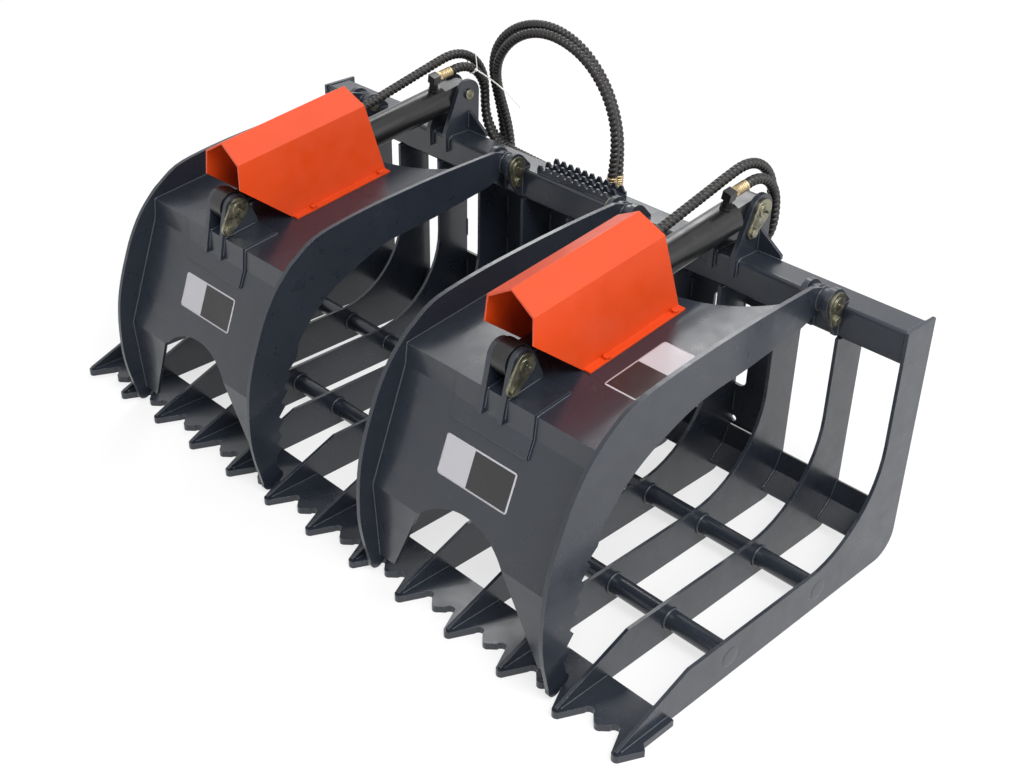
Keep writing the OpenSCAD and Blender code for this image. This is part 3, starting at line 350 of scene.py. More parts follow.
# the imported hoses' middle lines, [x, y, z] in millimetres, as a scratch program worked them out
ROUTES = {
    "right_base": [(476.3, 360.3, 749), (476.3, 368.2, 750), (476.3, 376.2, 751), (476.3, 388.1, 751.7),
        (476.3, 404, 750.3), (476.3, 423.2, 744.6), (476.3, 443.8, 732.4), (476.3, 463.6, 711),
        (476.3, 475.6, 684.4), (476.3, 478.8, 655.3), (476.2, 478.8, 625.9), (470.8, 478.2, 597.2),
        (457.4, 476.8, 571.3), (437, 474.7, 550.4), (411.5, 472.1, 536.3), (383.1, 469.2, 530.2),
        (353.9, 466.1, 530), (324.7, 463.1, 530), (295.6, 460.1, 530), (266.4, 457.1, 530),
        (237.2, 454.1, 530), (208, 451.1, 530), (178.8, 448.1, 530), (149.6, 445.1, 530), (126.7, 442.7, 530),
        (107.8, 441.3, 530), (92.8, 441, 530), (82.8, 441, 530), (72.8, 441, 530)],
    "right_rod": [(457.2, 63.5, 713.4), (457.2, 71.4, 714.4), (457.2, 79.4, 715.4), (457.2, 91.2, 717.1),
        (457, 107, 719.7), (456.5, 126.6, 723.7), (455.8, 150.1, 728.8), (455, 178.5, 735),
        (454.2, 206.9, 741.3), (453.4, 235.3, 747.5), (452.6, 263.8, 753.7), (451.8, 292.2, 760),
        (450.9, 320.6, 766.2), (450.1, 349, 772.4), (449.9, 377.6, 777.6), (449.9, 406.7, 776.3),
        (449.9, 434.4, 767.8), (449.9, 459.1, 752.6), (449.9, 479.3, 731.6), (449.9, 493.5, 706.3),
        (449.9, 501, 678.3), (449.9, 502, 649.2), (449.4, 501.9, 620.1), (442.4, 501.2, 592),
        (427.7, 499.5, 567), (406.5, 497.1, 547.4), (380.6, 494.2, 534.7), (352.1, 491, 530),
        (323.2, 487.8, 530), (294.2, 484.5, 530), (265.3, 481.3, 530), (236.4, 478, 530), (207.5, 474.8, 530),
        (178.5, 471.5, 530), (149.6, 468.3, 530), (126.7, 465.7, 530), (107.8, 464.3, 530), (92.8, 464, 530),
        (82.8, 464, 530), (72.8, 464, 530)],
    "left_base": [(-438.1, 360.3, 749), (-438.1, 368.2, 750), (-438.1, 376.2, 751), (-438.1, 388.1, 751.7),
        (-438.1, 404, 750.3), (-438.1, 423.2, 744.6), (-438.1, 443.8, 732.4), (-438.1, 463.9, 710.6),
        (-438.1, 475.9, 683.5), (-438.1, 478.8, 653.9), (-437.9, 478.8, 624.1), (-431.8, 478.2, 595.1),
        (-417.5, 476.8, 569.1), (-396.2, 474.9, 548.5), (-369.8, 472.4, 535.1), (-340.7, 469.7, 530),
        (-311, 466.9, 530), (-281.4, 464.2, 530), (-251.7, 461.4, 530), (-222, 458.6, 530),
        (-192.3, 455.9, 530), (-162.7, 453.1, 530), (-133, 450.3, 530), (-103.3, 447.6, 530),
        (-73.6, 444.8, 530), (-50.7, 442.7, 530), (-31.8, 441.3, 530), (-16.8, 441, 530), (-6.8, 441, 530),
        (3.2, 441, 530)],
    "left_rod": [(-457.2, 63.5, 713.4), (-457.2, 71.4, 714.4), (-457.2, 79.4, 715.4), (-457.2, 91.2, 717.1),
        (-457.4, 107, 719.7), (-457.9, 126.6, 723.7), (-458.5, 150.1, 728.8), (-459.3, 181.7, 735.6),
        (-460.2, 213.4, 742.5), (-461, 245, 749.4), (-461.9, 276.6, 756.3), (-462.7, 308.3, 763.1),
        (-463.5, 339.9, 770), (-464.1, 371.6, 776.7), (-464.1, 403.9, 777), (-464.1, 435, 768.4),
        (-464.1, 462.5, 751.4), (-464.1, 484.2, 727.5), (-464.1, 498.4, 698.5), (-464.1, 503.9, 666.7),
        (-464.1, 504, 634.3), (-460.2, 503.6, 602.3), (-446.4, 502.4, 573.1), (-424.2, 500.3, 549.9),
        (-395.7, 497.7, 535), (-363.9, 494.7, 530), (-331.7, 491.7, 530), (-299.4, 488.7, 530),
        (-267.2, 485.7, 530), (-234.9, 482.8, 530), (-202.7, 479.8, 530), (-170.4, 476.8, 530),
        (-138.2, 473.8, 530), (-105.9, 470.8, 530), (-73.6, 467.8, 530), (-50.7, 465.7, 530),
        (-31.8, 464.3, 530), (-16.8, 464, 530), (-6.8, 464, 530), (3.2, 464, 530)],
    "supply_a": [(38, 441, 564.2), (38, 441, 572.2), (38, 441, 580.2), (38, 441, 592.2), (38.7, 441.7, 608.2),
        (39.7, 442.9, 628.1), (40.1, 444.5, 652.1), (37.9, 446.4, 687.8), (31.2, 447.2, 722.9),
        (19.2, 447, 756.7), (1.6, 447, 787.8), (-20.8, 447, 815.8), (-47.3, 447, 839.8), (-77.6, 447, 858.9),
        (-110.8, 447, 872.4), (-145.6, 447, 880.8), (-181.3, 447, 884.1), (-217, 447, 881.2),
        (-251.6, 447, 872.1), (-284.1, 447, 857.1), (-313.4, 447.1, 836.5), (-338.7, 448, 811.2),
        (-359.4, 451.1, 782.2), (-374.5, 457.8, 750.5), (-384.1, 468.2, 717.6), (-389.7, 480.9, 684.5),
        (-392.4, 494.3, 651.4), (-393, 506.9, 617.8), (-392.1, 517.1, 583.5), (-390.6, 524.2, 548.4),
        (-389.3, 528, 512.8), (-389, 529.1, 477), (-389, 529, 454), (-389, 529, 435), (-389, 529, 420),
        (-389, 529, 410), (-389, 529, 400)],
    "supply_b": [(38, 464, 564.2), (38, 464, 572.2), (38, 464, 580.2), (38, 464, 592.2), (37.3, 464.7, 608.2),
        (35.2, 466.9, 627.9), (31.8, 470.2, 651.5), (26.7, 472, 686.6), (17.9, 472, 720.9), (4.8, 472, 754),
        (-12.4, 472, 785), (-33.9, 472, 813.2), (-59.4, 472, 838), (-88, 472, 859), (-119.5, 472, 875.3),
        (-153.2, 472, 886.4), (-188.2, 472, 892.2), (-223.7, 472, 892.3), (-258.8, 472, 886.8),
        (-292.7, 471.9, 876.4), (-324.8, 472.1, 861.1), (-353.8, 472.9, 840.7), (-378.9, 474.4, 815.7),
        (-398.8, 477.3, 786.5), (-412.3, 482.6, 754.1), (-420.1, 490.8, 720.5), (-423.4, 500.9, 686.6),
        (-424, 511.2, 652.6), (-423.2, 520.1, 618.2), (-421.1, 526.3, 583.3), (-418.8, 529.3, 548),
        (-417.9, 530.1, 512.5), (-418, 530, 477), (-418, 530, 454), (-418, 530, 435), (-418, 530, 420),
        (-418, 530, 410), (-418, 530, 400)],
}

# a first and a second point for each cylinder hose
FOLLOW = {
    "right_base": ((0.42, 0.474, 0.545), (0.476, 0.385, 0.752)),
    "right_rod": ((0.40, 0.495, 0.54), (0.450, 0.35, 0.770)),
    "left_base": ((-0.38, 0.474, 0.545), (-0.438, 0.385, 0.752)),
    "left_rod": ((-0.41, 0.495, 0.54), (-0.464, 0.35, 0.770)),
}
# radii of the bare hose and over its wrap
HOSE_CORE = 0.0090
HOSE_OUT = 0.0117
HOSE_SIDES = 18
HOSE_STEP = 0.0016
ROUTE_STEPS = 6
# the strip covers this share of each turn, its edges rise this steeply and it stops short of the ends
WRAP_PITCH = 0.0125
WRAP_STRIP = 0.80
WRAP_EDGE = 5.0
WRAP_BARE = 0.006


def hose(cad, points, moving):
    """The wrapped hose that stands for a packed one, along the same line."""
    line = even(bends([Vector(p) / 1000 for p in points], ROUTE_STEPS), HOSE_STEP)
    total = line_length(line)

    def wrap(s, a):
        # flat plastic strip wound round the hose, proud of it, with a gap between its turns
        share = (s / WRAP_PITCH - a / (2 * math.pi)) % 1.0
        strip = min(1.0, WRAP_EDGE * share, WRAP_EDGE * max(0.0, WRAP_STRIP - share)) ** 0.5
        bare = min(s, total - s) < WRAP_BARE
        return HOSE_CORE + (0.0 if bare else (HOSE_OUT - HOSE_CORE) * strip)

    ob = tube("wrapped_" + cad, line, wrap, HOSE_SIDES, M["hose"])
    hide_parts(cad)
    if not moving:
        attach(ob, "jaw_frame")
    tuple(line[0])
    [tuple(p) for p in line]
    return ob, line


LINES = {}
for node, points in ROUTES.items():
    side, end = node.split("_")
    moving = node in FOLLOW
    ob, LINES[node] = hose(node + "_hose" if moving else "supply_hose_" + end, points, moving)
    if moving:
        start, stop = FOLLOW[node]
        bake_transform(ob)
        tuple(start)
        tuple(stop)

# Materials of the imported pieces

JOINTS = {joint["name"]: joint for joint in frame["joints"]}
# the cylinders and the claws' top plates fall forward at the rods' slope
TILT_COS, TILT_SIN = (round(v, 5) for v in JOINTS["right_rod_slide"]["axis"][1:])
AXIS = Vector((0, TILT_COS, TILT_SIN))
# [y, z] of the middle of each cylinder's base port and rod port
PORTS = ((0.31574, 0.67140), (0.01918, 0.63328))
# a fitting reaches no further in front of its port than this, and its elbow ends this far behind it
PORT_REACH = 0.06
ELBOW_END = 0.0108
SHELF_TOP = 0.5165


def finish_of(name):
    """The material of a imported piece."""
    if name.endswith("_guard") or "guard_bolts" in name:
        return "orange"
    if name.endswith(("pins", "rod_pin")):
        return "zinc"
    if name.endswith("cylinder_rod"):
        return "chrome"
    if name.endswith("fittings") or "_cylinder_" in name:
        return "black"
    if name in ("hose_tees", "quick_couplers") or name.endswith("bushes"):
        return "steel"
    if name.endswith("hose") or name.startswith("supply"):
        return "hose"
    return "paint"


def past_elbow(point):
    """Whether a point of a fitting lies behind its port's elbow, along the cylinder."""
    past = [(point.y - y) * AXIS.y + (point.z - z) * AXIS.z for y, z in PORTS]
    return min(p for p in past if p > -PORT_REACH) > ELBOW_END


for name, ob in frame["nodes"].items():
    ob.data.materials.clear()
    ob.data.materials.append(M[finish_of(name)])
    if name.endswith("fittings"):
        # the nut and the ferrule are brass
        ob.data.materials.append(M["brass"])
        for poly in ob.data.polygons:
            poly.material_index = int(past_elbow(poly.center))
    elif name == "hose_tees":
        # the shelf that they stand on is painted
        ob.data.materials.append(M["paint"])
        for poly in ob.data.polygons:
            poly.material_index = int(poly.center.z < SHELF_TOP)

# Welds

# the tines' backs, in metres; the places below are millimetres: x, d forward from there, z up
BACK_Y = round(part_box("tine_07")[1][1], 4)


def span(node):
    """A node's least and greatest x, d and z at rest."""
    (x0, y0, z0), (x1, y1, z1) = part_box(node)
    return [[round(1000 * v, 1) for v in ends] for ends in ((x0, x1), (BACK_Y - y1, BACK_Y - y0), (z0, z1))]


TINE_HALF = span("tine_07")[0][1]
TINE_PITCH = round(span("tine_08")[0][1] - TINE_HALF, 1)
END_TINE = 6
END_X = END_TINE * TINE_PITCH
CLAW_X = 3 * TINE_PITCH
ARM_HALF = round(sum(span("right_claw_outer_arm")[0]) / 2 - CLAW_X, 1)
CLAW_PIVOT = JOINTS["right_claw_pivot"]["pos_m"]
HINGE = (round(1000 * (BACK_Y - CLAW_PIVOT[1]), 1), round(1000 * CLAW_PIVOT[2], 1))
_, PIPES_D, PIPES_Z = span("cross_pipes")
PIPE_R = round((PIPES_Z[1] - PIPES_Z[0]) / 2, 1)
PIPE_Z = round(sum(PIPES_Z) / 2, 1)
PIPE_DS = (round(PIPES_D[0] + PIPE_R), round(PIPES_D[1] - PIPE_R))
# a bead lies about its radius off the plates
TOE = 1
TINE_TOE = TINE_HALF + 0.8
# [d, z] lines along a tine: on the edge plate, under the tube and in the heel plates
_, (EDGE_BACK, EDGE_FRONT), (_, EDGE_TOP) = span("cutting_edge")
_, (TUBE_BACK, TUBE_FRONT), (TUBE_LOW, TUBE_TOP) = span("top_tube")
EDGE_RUN = ((EDGE_BACK + TOE, EDGE_TOP + TOE), (EDGE_FRONT - 15, EDGE_TOP + TOE))
UNDER_TUBE_RUN = ((TUBE_BACK + TOE, TUBE_LOW - TOE), (TUBE_FRONT - TOE, TUBE_LOW - TOE))
HEEL_RUN = ((9, 111), (25.5, 69.5), (69.5, 33.5))
# stitches to the quick-attach plate
(_, QA_HALF), (_, STITCH_D), _ = span("quick_attach_plate")
STITCH_ZS = (150, 270, 390)
STITCH_LEN = 50
# [d, z] lines round the tube: inside the end tines, at the hinges' ears and at the towers' ears
TUBE_END = 5.1
CORNER = 8
TUBE_END_RUN = ((TUBE_FRONT + TOE, TUBE_LOW + CORNER), (TUBE_FRONT + TOE, TUBE_TOP - CORNER),
                (TUBE_FRONT - CORNER, TUBE_TOP + TOE), (TUBE_BACK + CORNER, TUBE_TOP + TOE))
EAR_TOES = (-36.6, -22.8, 22.8, 36.6)
HINGE_EAR_RUNS = (((TUBE_FRONT + TOE, TUBE_LOW + CORNER), (TUBE_FRONT + TOE, TUBE_TOP - 2)),
                  ((69, TUBE_TOP + TOE), (TUBE_FRONT - TOE, TUBE_TOP + TOE)))
_, (TOWER_BACK, _), (TOWER_LOW, _) = span("cylinder_towers")
TOWER_EAR_RUN = ((TOWER_BACK + 3, TUBE_TOP + TOE), (TUBE_FRONT - CORNER, TUBE_TOP + TOE),
                 (TUBE_FRONT + TOE, TUBE_TOP - CORNER), (TUBE_FRONT + TOE, TOWER_LOW + 2))
# a tower's side gussets: along X on the tube and up the ear
GUSSET_DS = (16, 26)
GUSSET_FOOT_XS = (38, 96)
GUSSET_FOOT_Z = TUBE_TOP + 1.2
GUSSET_EAR_X = 36.8
GUSSET_EAR_ZS = (TUBE_TOP + 4, TUBE_TOP + 50)
# the step tread's outer bars
(_, TREAD_HALF), TREAD_ENDS, (TREAD_LOW, _) = span("step_tread")
TREAD_DS = (TREAD_ENDS[0] - 0.6, TREAD_ENDS[1] + 0.6)
TREAD_XS = ((4 - TREAD_HALF, 76 - TREAD_HALF), (TREAD_HALF - 76, TREAD_HALF - 4))
TREAD_Z = TREAD_LOW + 1.2
# round beads: off the plate's middle, round a pipe and round a claw's boss
RING_TOE = TINE_HALF + 1.6
PIPE_RING_R = PIPE_R + 1.2
BOSS_RING_R = 25.8
# in metres; a bead swells and shrinks by turns, a little unevenly, and its open ends are thin
BEAD_SIDES = 6
BEAD_R = 0.0022
PIPE_BEAD_R = 0.0034
RIPPLE_STEP = 0.0032
RIPPLE_LOW = 0.78
RIPPLE_SPREAD = (0.93, 1.07)
BEAD_END = 0.35


def dz(x, d, z):
    """The point in metres, in the model's frame, of x, d and z in millimetres."""
    return Vector((x / 1000, BACK_Y - d / 1000, z / 1000))


def upright(x, *points):
    """An open bead through [d, z] points in the plane at x."""
    return [dz(x, d, z) for d, z in points], False


def sideways(x0, x1, d, z):
    """A straight bead along X."""
    return [dz(x0, d, z), dz(x1, d, z)], False


def circle(x, d, z, r, n=28):
    """A closed round bead in the plane at x."""
    angles = [2 * math.pi * k / n for k in range(n)]
    return [dz(x, d + r * math.cos(a), z + r * math.sin(a)) for a in angles], True


def beads(name, lines, body, radius=BEAD_R):
    """Rippled weld beads along open or closed lines, all in one mesh."""
    verts, faces = [], []
    for points, closed in lines:
        if closed:
            points = points + [points[0]]
        line = even(points, RIPPLE_STEP)
        last = len(line) - 1
        faces += loft(len(verts), len(line), BEAD_SIDES)
        for i, (p, (_, u, v)) in enumerate(zip(line, frames(line))):
            r = radius * (1.0 if i % 2 else RIPPLE_LOW) * random.uniform(*RIPPLE_SPREAD)
            if not closed and i in (0, last):
                r *= BEAD_END
            verts += ring(p, u, v, [r] * BEAD_SIDES)
    ob = mesh_object(name, verts, faces, M["weld"])
    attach(ob, body)


frame_lines = []
pipe_lines = []
for i in range(-END_TINE, END_TINE + 1):
    x = i * TINE_PITCH
    for side in (-1, 1):
        toe = x + side * TINE_TOE
        # the outer faces of the end tines carry neither pipe rings nor heel plates
        inward = side * i < END_TINE
        if inward:
            pipe_lines += [circle(x + side * RING_TOE, d, PIPE_Z, PIPE_RING_R) for d in PIPE_DS]
        frame_lines.append(upright(toe, *EDGE_RUN))
        if abs(i) < END_TINE:
            frame_lines.append(upright(toe, *UNDER_TUBE_RUN))
        if abs(x) < QA_HALF:
            frame_lines += [upright(toe, (STITCH_D, z), (STITCH_D, z + STITCH_LEN)) for z in STITCH_ZS]
        if inward:
            frame_lines.append(upright(toe, *HEEL_RUN))
for side in (-1, 1):
    claw_x = side * CLAW_X
    frame_lines.append(upright(side * (END_X - TUBE_END), *TUBE_END_RUN))
    for arm in (-1, 1):
        for toe in EAR_TOES:
            frame_lines += [upright(claw_x + arm * ARM_HALF + toe, *run) for run in HINGE_EAR_RUNS]
    frame_lines += [upright(claw_x + toe, *TOWER_EAR_RUN) for toe in EAR_TOES]
    for way in (-1, 1):
        for d in GUSSET_DS:
            near, far = (claw_x + way * x for x in GUSSET_FOOT_XS)
            frame_lines.append(sideways(near, far, d, GUSSET_FOOT_Z))
            frame_lines.append(upright(claw_x + way * GUSSET_EAR_X, *((d, z) for z in GUSSET_EAR_ZS)))
for d in TREAD_DS:
    frame_lines += [sideways(x0, x1, d, TREAD_Z) for x0, x1 in TREAD_XS]
beads("frame_welds", frame_lines, "jaw_frame")
beads("pipe_welds", pipe_lines, "jaw_frame", PIPE_BEAD_R)

# a claw's [d, z] lines at rest
ALONG = (TILT_COS, -TILT_SIN)
UP = (TILT_SIN, TILT_COS)
ROD_PIN = (732.83, 592.01)
ROD_RISE = 61.5
NOSE_U = 44
REAR_U = -584
DOUBLER_U = -46
BEVEL, BEND, FOOT = (773.6, 478.2), (869.3, 228.0), (857.6, 34.7)
# where the beads run: off the skin, inside the arms, round the doubler and beside the rod bracket's ears
SKIN_TOE = 1.2
ARM_TOE = 258.8
DOUBLER_HALF = 106
DOUBLER_TOE = 107.2
DOUBLER_TOP = 7.2
DOUBLER_LOW = 790.6
BRACKET_TOES = (20.3, 34.7)


def seat(u, w):
    """[d, z] at u forward along a claw's top plate from its rod pin, w above the plate."""
    return (ROD_PIN[0] + ALONG[0] * u + UP[0] * (w - ROD_RISE),
            ROD_PIN[1] + ALONG[1] * u + UP[1] * (w - ROD_RISE))


def skin(proud, start):
    """The outside of a claw's skin in [d, z] from start to its foot, moved outwards."""
    line = [start, seat(NOSE_U, 0), BEVEL, BEND, FOOT]
    out = []
    for i, (d, z) in enumerate(line):
        a, b = line[max(i - 1, 0)], line[min(i + 1, len(line) - 1)]
        run = Vector((b[0] - a[0], b[1] - a[1])).normalized()
        out.append((d - run.y * proud, z + run.x * proud))
    return out


for side, claw in ((-1, "left_claw"), (1, "right_claw")):
    claw_x = side * CLAW_X
    lines = []
    for way in (-1, 1):
        lines.append(upright(claw_x + way * ARM_TOE, *skin(SKIN_TOE, seat(REAR_U, 0))))
        lines.append(upright(claw_x + way * DOUBLER_TOE, *skin(SKIN_TOE, seat(DOUBLER_U, 0))[:3],
                             (DOUBLER_LOW, 438.6)))
        for toe in BRACKET_TOES:
            top = skin(DOUBLER_TOP, seat(DOUBLER_U + 6, 0))
            lines.append(upright(claw_x + way * toe, *top[:2], (top[2][0] + 0.3, top[2][1] + 8)))
    for d, z in ((DOUBLER_LOW, 437.0), seat(DOUBLER_U - 1.4, SKIN_TOE)):
        lines.append(sideways(claw_x - DOUBLER_HALF, claw_x + DOUBLER_HALF, d, z))
    for arm in (-1, 1):
        for way in (-1, 1):
            lines.append(circle(claw_x + arm * ARM_HALF + way * RING_TOE, *HINGE, BOSS_RING_R, 36))
    beads(claw + "_welds", lines, claw)

# Blank stickers
STICKER_STEPS = (48, 24)
STICKER_CORNER = 0.006
STICKER_LIFT = 0.0004
STICKER_WAVE = 0.00008
STICKER_SINK = 0.0002


def sticker(name, body, centre, ux, uy, w, h, dark_from, dark_to):
    """A thin two-tone sticker without print: a white field, a dark field and a white margin."""
    nx, ny = STICKER_STEPS
    ux, uy = Vector(ux).normalized(), Vector(uy).normalized()
    up = ux.cross(uy)
    flat_w, flat_h = w / 2 - STICKER_CORNER, h / 2 - STICKER_CORNER
    verts, faces, kinds = [], [], []
    for j in range(ny + 1):
        for i in range(nx + 1):
            a, b = (i / nx - 0.5) * w, (j / ny - 0.5) * h
            # round the corners in
            over_a, over_b = max(abs(a) - flat_w, 0), max(abs(b) - flat_h, 0)
            over = math.hypot(over_a, over_b)
            if over > STICKER_CORNER:
                a = math.copysign(flat_w + over_a / over * STICKER_CORNER, a)
                b = math.copysign(flat_h + over_b / over * STICKER_CORNER, b)
            wave = math.sin(a * 95 + b * 60) * math.sin(b * 140 - a * 20)
            verts.append(centre + ux * a + uy * b + up * (STICKER_LIFT + STICKER_WAVE * wave))
    for j in range(ny):
        for i in range(nx):
            q = j * (nx + 1) + i
            faces.append((q, q + 1, q + nx + 2, q + nx + 1))
            within = 1 <= j < ny - 1 and 1 <= i < nx - 1
            kinds.append(int(within and dark_from * nx <= i + 0.5 < dark_to * nx))
    # the rim goes down into the plate
    rim = list(range(nx + 1)) + [(j + 1) * (nx + 1) + nx for j in range(ny)]
    rim += [ny * (nx + 1) + i for i in range(nx - 1, -1, -1)] + [j * (nx + 1) for j in range(ny - 1, 0, -1)]
    low = len(verts)
    for q in rim:
        verts.append(verts[q] - up * ((verts[q] - centre).dot(up) + STICKER_SINK))
    for k in range(len(rim)):
        m = (k + 1) % len(rim)
        faces.append((rim[m], rim[k], low + k, low + m))
        kinds.append(0)
    ob = mesh_object(name, verts, faces, M["vinyl"])
    ob.data.materials.append(M["ink"])
    ob.data.polygons.foreach_set("material_index", kinds)
    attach(ob, body)


face_down = Vector((0, -(BEND[0] - BEVEL[0]), BEND[1] - BEVEL[1])).normalized()


def on_face(x, run):
    """A point on the claws' front plates, run metres down from the upper bend."""
    return Vector((x, BACK_Y - BEVEL[0] / 1000, BEVEL[1] / 1000)) + face_down * run


TOP_MIDDLE = dz(629.5, *seat(NOSE_U - 241, 0))
sticker("right_claw_front_sticker", "right_claw", on_face(0.4525, 0.122), (1, 0, 0), -face_down,
        0.195, 0.087, 0.42, 1)
sticker("left_claw_front_sticker", "left_claw", on_face(-0.4555, 0.117), (1, 0, 0), -face_down,
        0.190, 0.083, 0.42, 1)
sticker("right_claw_top_sticker", "right_claw", TOP_MIDDLE, AXIS, (-1, 0, 0), 0.177, 0.082, 0.0, 0.55)

# Turned trim
FERRULE_LEN = 0.034
FERRULE_SIDES = 28
BARREL_FERRULE_R = 0.0116
TEE_FERRULE_R = 0.0124
FERRULE_BACK = 0.0335
CRIMPS = 5
CRIMP_EDGE = 0.0008


def crimp(r):
    """The profile of a crimped ferrule."""
    out = [(0.0, r * 0.8), (CRIMP_EDGE, r + 0.0003)]
    for k in range(CRIMPS):
        a = FERRULE_LEN * (0.1 + 0.8 * k / CRIMPS)
        b = FERRULE_LEN * (0.1 + 0.8 * (k + 0.55) / CRIMPS)
        out += [(a, r + 0.0004), (a + CRIMP_EDGE, r - 0.0009), (b, r - 0.0009), (b + CRIMP_EDGE, r + 0.0004)]
    return out + [(FERRULE_LEN - CRIMP_EDGE, r + 0.0003), (FERRULE_LEN, r * 0.9)]


for node in FOLLOW:
    base = Vector(ROUTES[node][0]) / 1000 - AXIS * FERRULE_BACK
    turned(node + "_ferrule", [(base, AXIS, crimp(BARREL_FERRULE_R))], FERRULE_SIDES, M["brass"],
           node.split("_")[0] + "_barrel")
for node, line in LINES.items():
    # the cylinder hoses end at the tees and the supply hoses start there
    tee, inner = (line[-1], line[-4]) if node in FOLLOW else (line[0], line[3])
    way = (inner - tee).normalized()
    turned(node + "_tee_ferrule", [(tee - way * 0.0002, way, crimp(TEE_FERRULE_R))], FERRULE_SIDES,
           M["brass"], "jaw_frame")

# each pipe's end is welded shut and dressed nearly flush with the end tine
CAP_R = 0.0238
CAP_X = END_X + TINE_HALF - 0.2
CAP_PROFILE = [(0.0, CAP_R), (0.0004, CAP_R - 0.0004), (0.0006, CAP_R - 0.0014), (0.0008, CAP_R * 0.6),
               (0.0009, CAP_R * 0.1)]
caps = [(dz(side * CAP_X, d, PIPE_Z), (side, 0, 0), CAP_PROFILE) for side in (-1, 1) for d in PIPE_DS]
turned("pipe_caps", caps, 40, M["dressed"], "jaw_frame")

# the couplers' sleeves: three knurled bands, a stop ring and a dust cap's edge, each (z, height, proud)
SLEEVE_R = 0.0155
BAND_R = 0.016
BAND_EDGE = 0.0006
COUPLERS = ((-0.389, 0.529), (-0.418, 0.530))
BANDS = ((0.3702, 0.0034, 0.0009), (0.3634, 0.0034, 0.0009), (0.3566, 0.0034, 0.0009),
         (0.3400, 0.0060, 0.0013), (0.3262, 0.0040, 0.0006))
bands = []
for x, y in COUPLERS:
    for z, high, proud in BANDS:
        bands.append(((x, y, z), (0, 0, 1), [(0.0, SLEEVE_R), (BAND_EDGE, BAND_R + proud),
                                             (high - BAND_EDGE, BAND_R + proud), (high, SLEEVE_R)]))
turned("coupler_bands", bands, 30, M["steel"], "jaw_frame")

# The tie round the left cylinder's hoses
TIE_W = 0.0046
TIE_T = 0.0012
TIE_R = 0.0120
TIE_NEAR = 0.06
TIE_POINTS = 48
TIE_MIDDLE = Vector((-0.451, 0.446, 0.746))
TIE_AXIS = Vector((0, 0.66, -0.75)).normalized()
TIE_X = Vector((1, 0, 0))
TIE_UP = TIE_AXIS.cross(TIE_X)
TAIL_WAY = Vector((0.78, 0.29, -0.55)).normalized()
TAIL_SIDE = TAIL_WAY.cross(Vector((0, 0, 1))).normalized()
TAIL_OUT = TAIL_SIDE.cross(TAIL_WAY).normalized()
TAIL_LEN = 0.150
TAIL_BOW = 0.010
TAIL_STEPS = 32
LOCK_LEN = 0.007
LOCK_STEPS = 8


def hull(points):
    """The convex outline of points in a plane."""
    pts = sorted(set(points))
    out = []
    for run in (pts, pts[::-1]):
        half = []
        for q in run:
            while len(half) > 1 and ((half[-1][0] - half[-2][0]) * (q[1] - half[-2][1])
                                     - (half[-1][1] - half[-2][1]) * (q[0] - half[-2][0])) <= 0:
                half.pop()
            half.append(q)
        out += half[:-1]
    return out


def strap(name, path, wide, closed):
    """A flat strap along a path of (point, outward, half width)."""
    verts, faces = [], []
    for q, out, w in path:
        for a, b in ((-1, 0), (1, 0), (1, 1), (-1, 1)):
            verts.append(q + wide * (a * w) + out * (b * TIE_T))
    n = len(path)
    for i in range(n if closed else n - 1):
        j = (i + 1) % n
        for k in range(4):
            m = (k + 1) % 4
            faces.append((i * 4 + k, j * 4 + k, j * 4 + m, i * 4 + m))
    if not closed:
        faces += [(3, 2, 1, 0), tuple((n - 1) * 4 + k for k in range(4))]
    ob = mesh_object(name, verts, faces, M["tie"], smooth=False)
    bm = bmesh.new()
    bm.from_mesh(ob.data)
    bmesh.ops.recalc_face_normals(bm, faces=bm.faces)
    bm.to_mesh(ob.data)
    bm.free()
    start, stop = FOLLOW["left_rod"]
    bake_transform(ob)
    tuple(start)
    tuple(stop)


# the band lies round a circle about each hose, where the two cross the tie's plane
circles = []
for node in ("left_rod", "left_base"):
    near = [p for p in LINES[node] if (p - TIE_MIDDLE).length <= TIE_NEAR]
    off = min(near, key=lambda p: abs((p - TIE_MIDDLE).dot(TIE_AXIS))) - TIE_MIDDLE
    for k in range(TIE_POINTS):
        a = 2 * math.pi * k / TIE_POINTS
        circles.append((off.dot(TIE_X) + TIE_R * math.cos(a), off.dot(TIE_UP) + TIE_R * math.sin(a)))
loop = hull(circles)
mean = [sum(p[k] for p in loop) / len(loop) for k in range(2)]
band = []
for a, b in loop:
    out = (TIE_X * (a - mean[0]) + TIE_UP * (b - mean[1])).normalized()
    band.append((TIE_MIDDLE + TIE_X * a + TIE_UP * b, out, TIE_W / 2))
strap("hose_tie_band", band, TIE_AXIS, True)

head = max(band, key=lambda e: e[0].x)[0]
tail = []
for k in range(TAIL_STEPS + 1):
    t = k / TAIL_STEPS
    bow = TAIL_OUT * (TAIL_BOW * math.sin(math.pi * t * 0.9))
    # wide in the lock, and pointed at the end
    w = 0.0040 if t < 0.05 else TIE_W / 2 * (1.0 if t < 0.9 else max(0.25, (1 - t) * 10))
    tail.append((head + TAIL_WAY * (TAIL_LEN * t - 0.004) + bow, TAIL_OUT, w))
strap("hose_tie_tail", tail, TAIL_SIDE, False)

lock = []
for k in range(LOCK_STEPS + 1):
    t = k / LOCK_STEPS
    bulge = 0.0032 + 0.0012 * math.sin(math.pi * t)
    lock.append((head + TAIL_WAY * (LOCK_LEN * t - 0.003) - TAIL_OUT * 0.0016, TAIL_OUT * 3.4, bulge))
strap("hose_tie_lock", lock, TAIL_SIDE, False)

# Floor, sky, lamps
FLOOR_HALF = 55
FLOOR_Z = -0.001
FLOOR_WHITE = 0.7
TARGET = Vector((0, 0, 0.3))


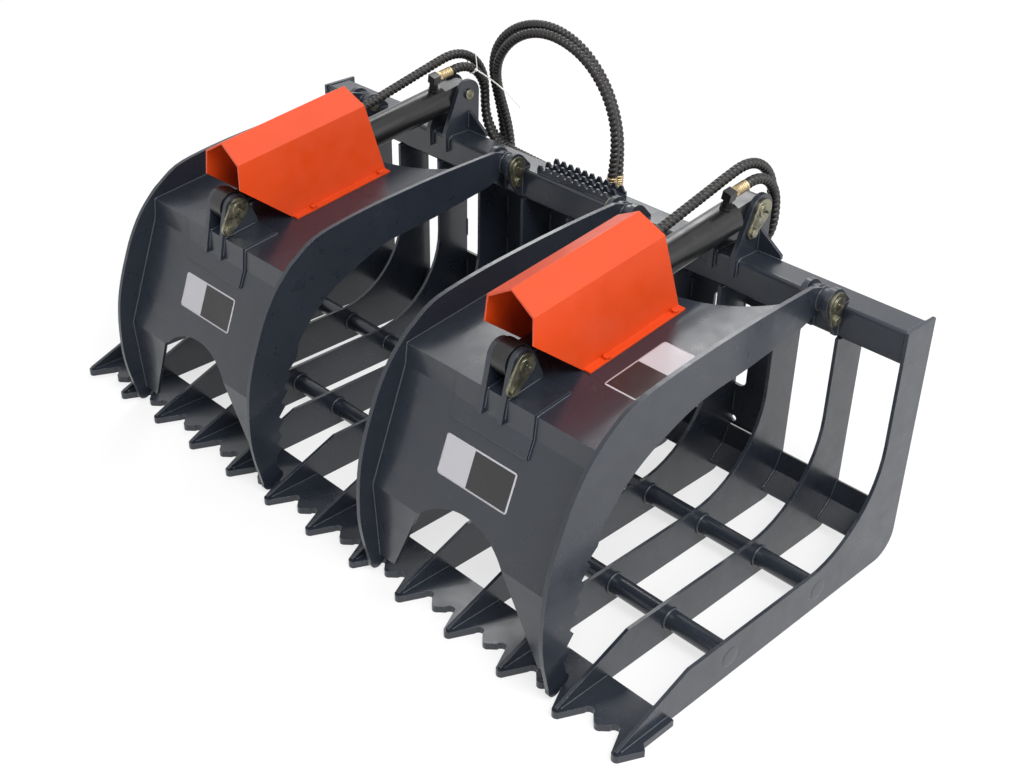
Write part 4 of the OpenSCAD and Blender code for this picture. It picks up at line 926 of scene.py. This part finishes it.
def seen_directly(nt):
    """1 for a ray from the camera, or one that a surface mirrors or lets through."""
    rays = add(nt, "ShaderNodeLightPath")
    seen = rays.outputs["Is Camera Ray"]
    for kind in ("Is Glossy Ray", "Is Transmission Ray"):
        seen = math_node(nt, "MAXIMUM", seen, rays.outputs[kind])
    return seen


def surface_mix(nt, fac, first, second, output):
    """The first shader turning into the second with fac, as the output's surface."""
    both = add(nt, "ShaderNodeMixShader")
    for k, socket in enumerate((fac, first, second)):
        nt.links.new(socket, both.inputs[k])
    nt.links.new(both.outputs[0], nt.nodes[output].inputs["Surface"])


# seen directly, the floor is nearly white and keeps a soft shadow
corners = [(x * FLOOR_HALF, y * FLOOR_HALF, FLOOR_Z) for x, y in ((-1, -1), (1, -1), (1, 1), (-1, 1))]
floor = mesh_object("floor", corners, [(0, 1, 2, 3)], smooth=False)
pale = bpy.data.materials.new("pale_floor")
nt, bsdf = nodes_of(pale)
co = add(nt, "ShaderNodeTexCoord").outputs["Object"]
nt.links.new(ramp(nt, noise(nt, co, 3.0), [(0.3, grey(0.86)), (0.7, grey(0.9))]), bsdf.inputs["Base Color"])
bsdf.inputs["Roughness"].default_value = 0.9
glow = add(nt, "ShaderNodeEmission", Color=(1, 1, 1, 1), Strength=1.0)
surface_mix(nt, math_node(nt, "MULTIPLY", seen_directly(nt), FLOOR_WHITE), bsdf.outputs[0], glow.outputs[0],
            "Material Output")
floor.data.materials.append(pale)

# seen directly the surround is white; as light it is an overcast sky, paler overhead
world = bpy.data.worlds.new("studio")
scene.world = world
world.use_nodes = True
nt = world.node_tree
sky = nt.nodes["Background"]
height = add(nt, "ShaderNodeSeparateXYZ")
nt.links.new(add(nt, "ShaderNodeTexCoord").outputs["Generated"], height.inputs[0])
nt.links.new(ramp(nt, height.outputs["Z"], [(0.0, grey(0.36)), (0.3, grey(0.6)), (0.75, grey(1.0))]),
             sky.inputs["Color"])
sky.inputs["Strength"].default_value = 0.85
white = add(nt, "ShaderNodeBackground", Color=(1, 1, 1, 1), Strength=1.0)
surface_mix(nt, seen_directly(nt), sky.outputs[0], white.outputs[0], "World Output")


def lamp(name, place, size, power):
    """A round lamp that looks at the grapple's middle."""
    d = bpy.data.lights.new(name, "AREA")
    d.shape = "DISK"
    d.size = size
    d.energy = power
    o = link(bpy.data.objects.new(name, d))
    o.location = place
    o.rotation_euler = (TARGET - Vector(place)).to_track_quat("-Z", "Y").to_euler()


lamp("key", (3.4, -1.6, 5.4), 3.0, 255)
lamp("fill", (4.6, 1.0, 2.6), 3.0, 90)
lamp("rim", (-3.0, 3.5, 4.0), 2.5, 90)

scene.view_settings.view_transform = "Standard"
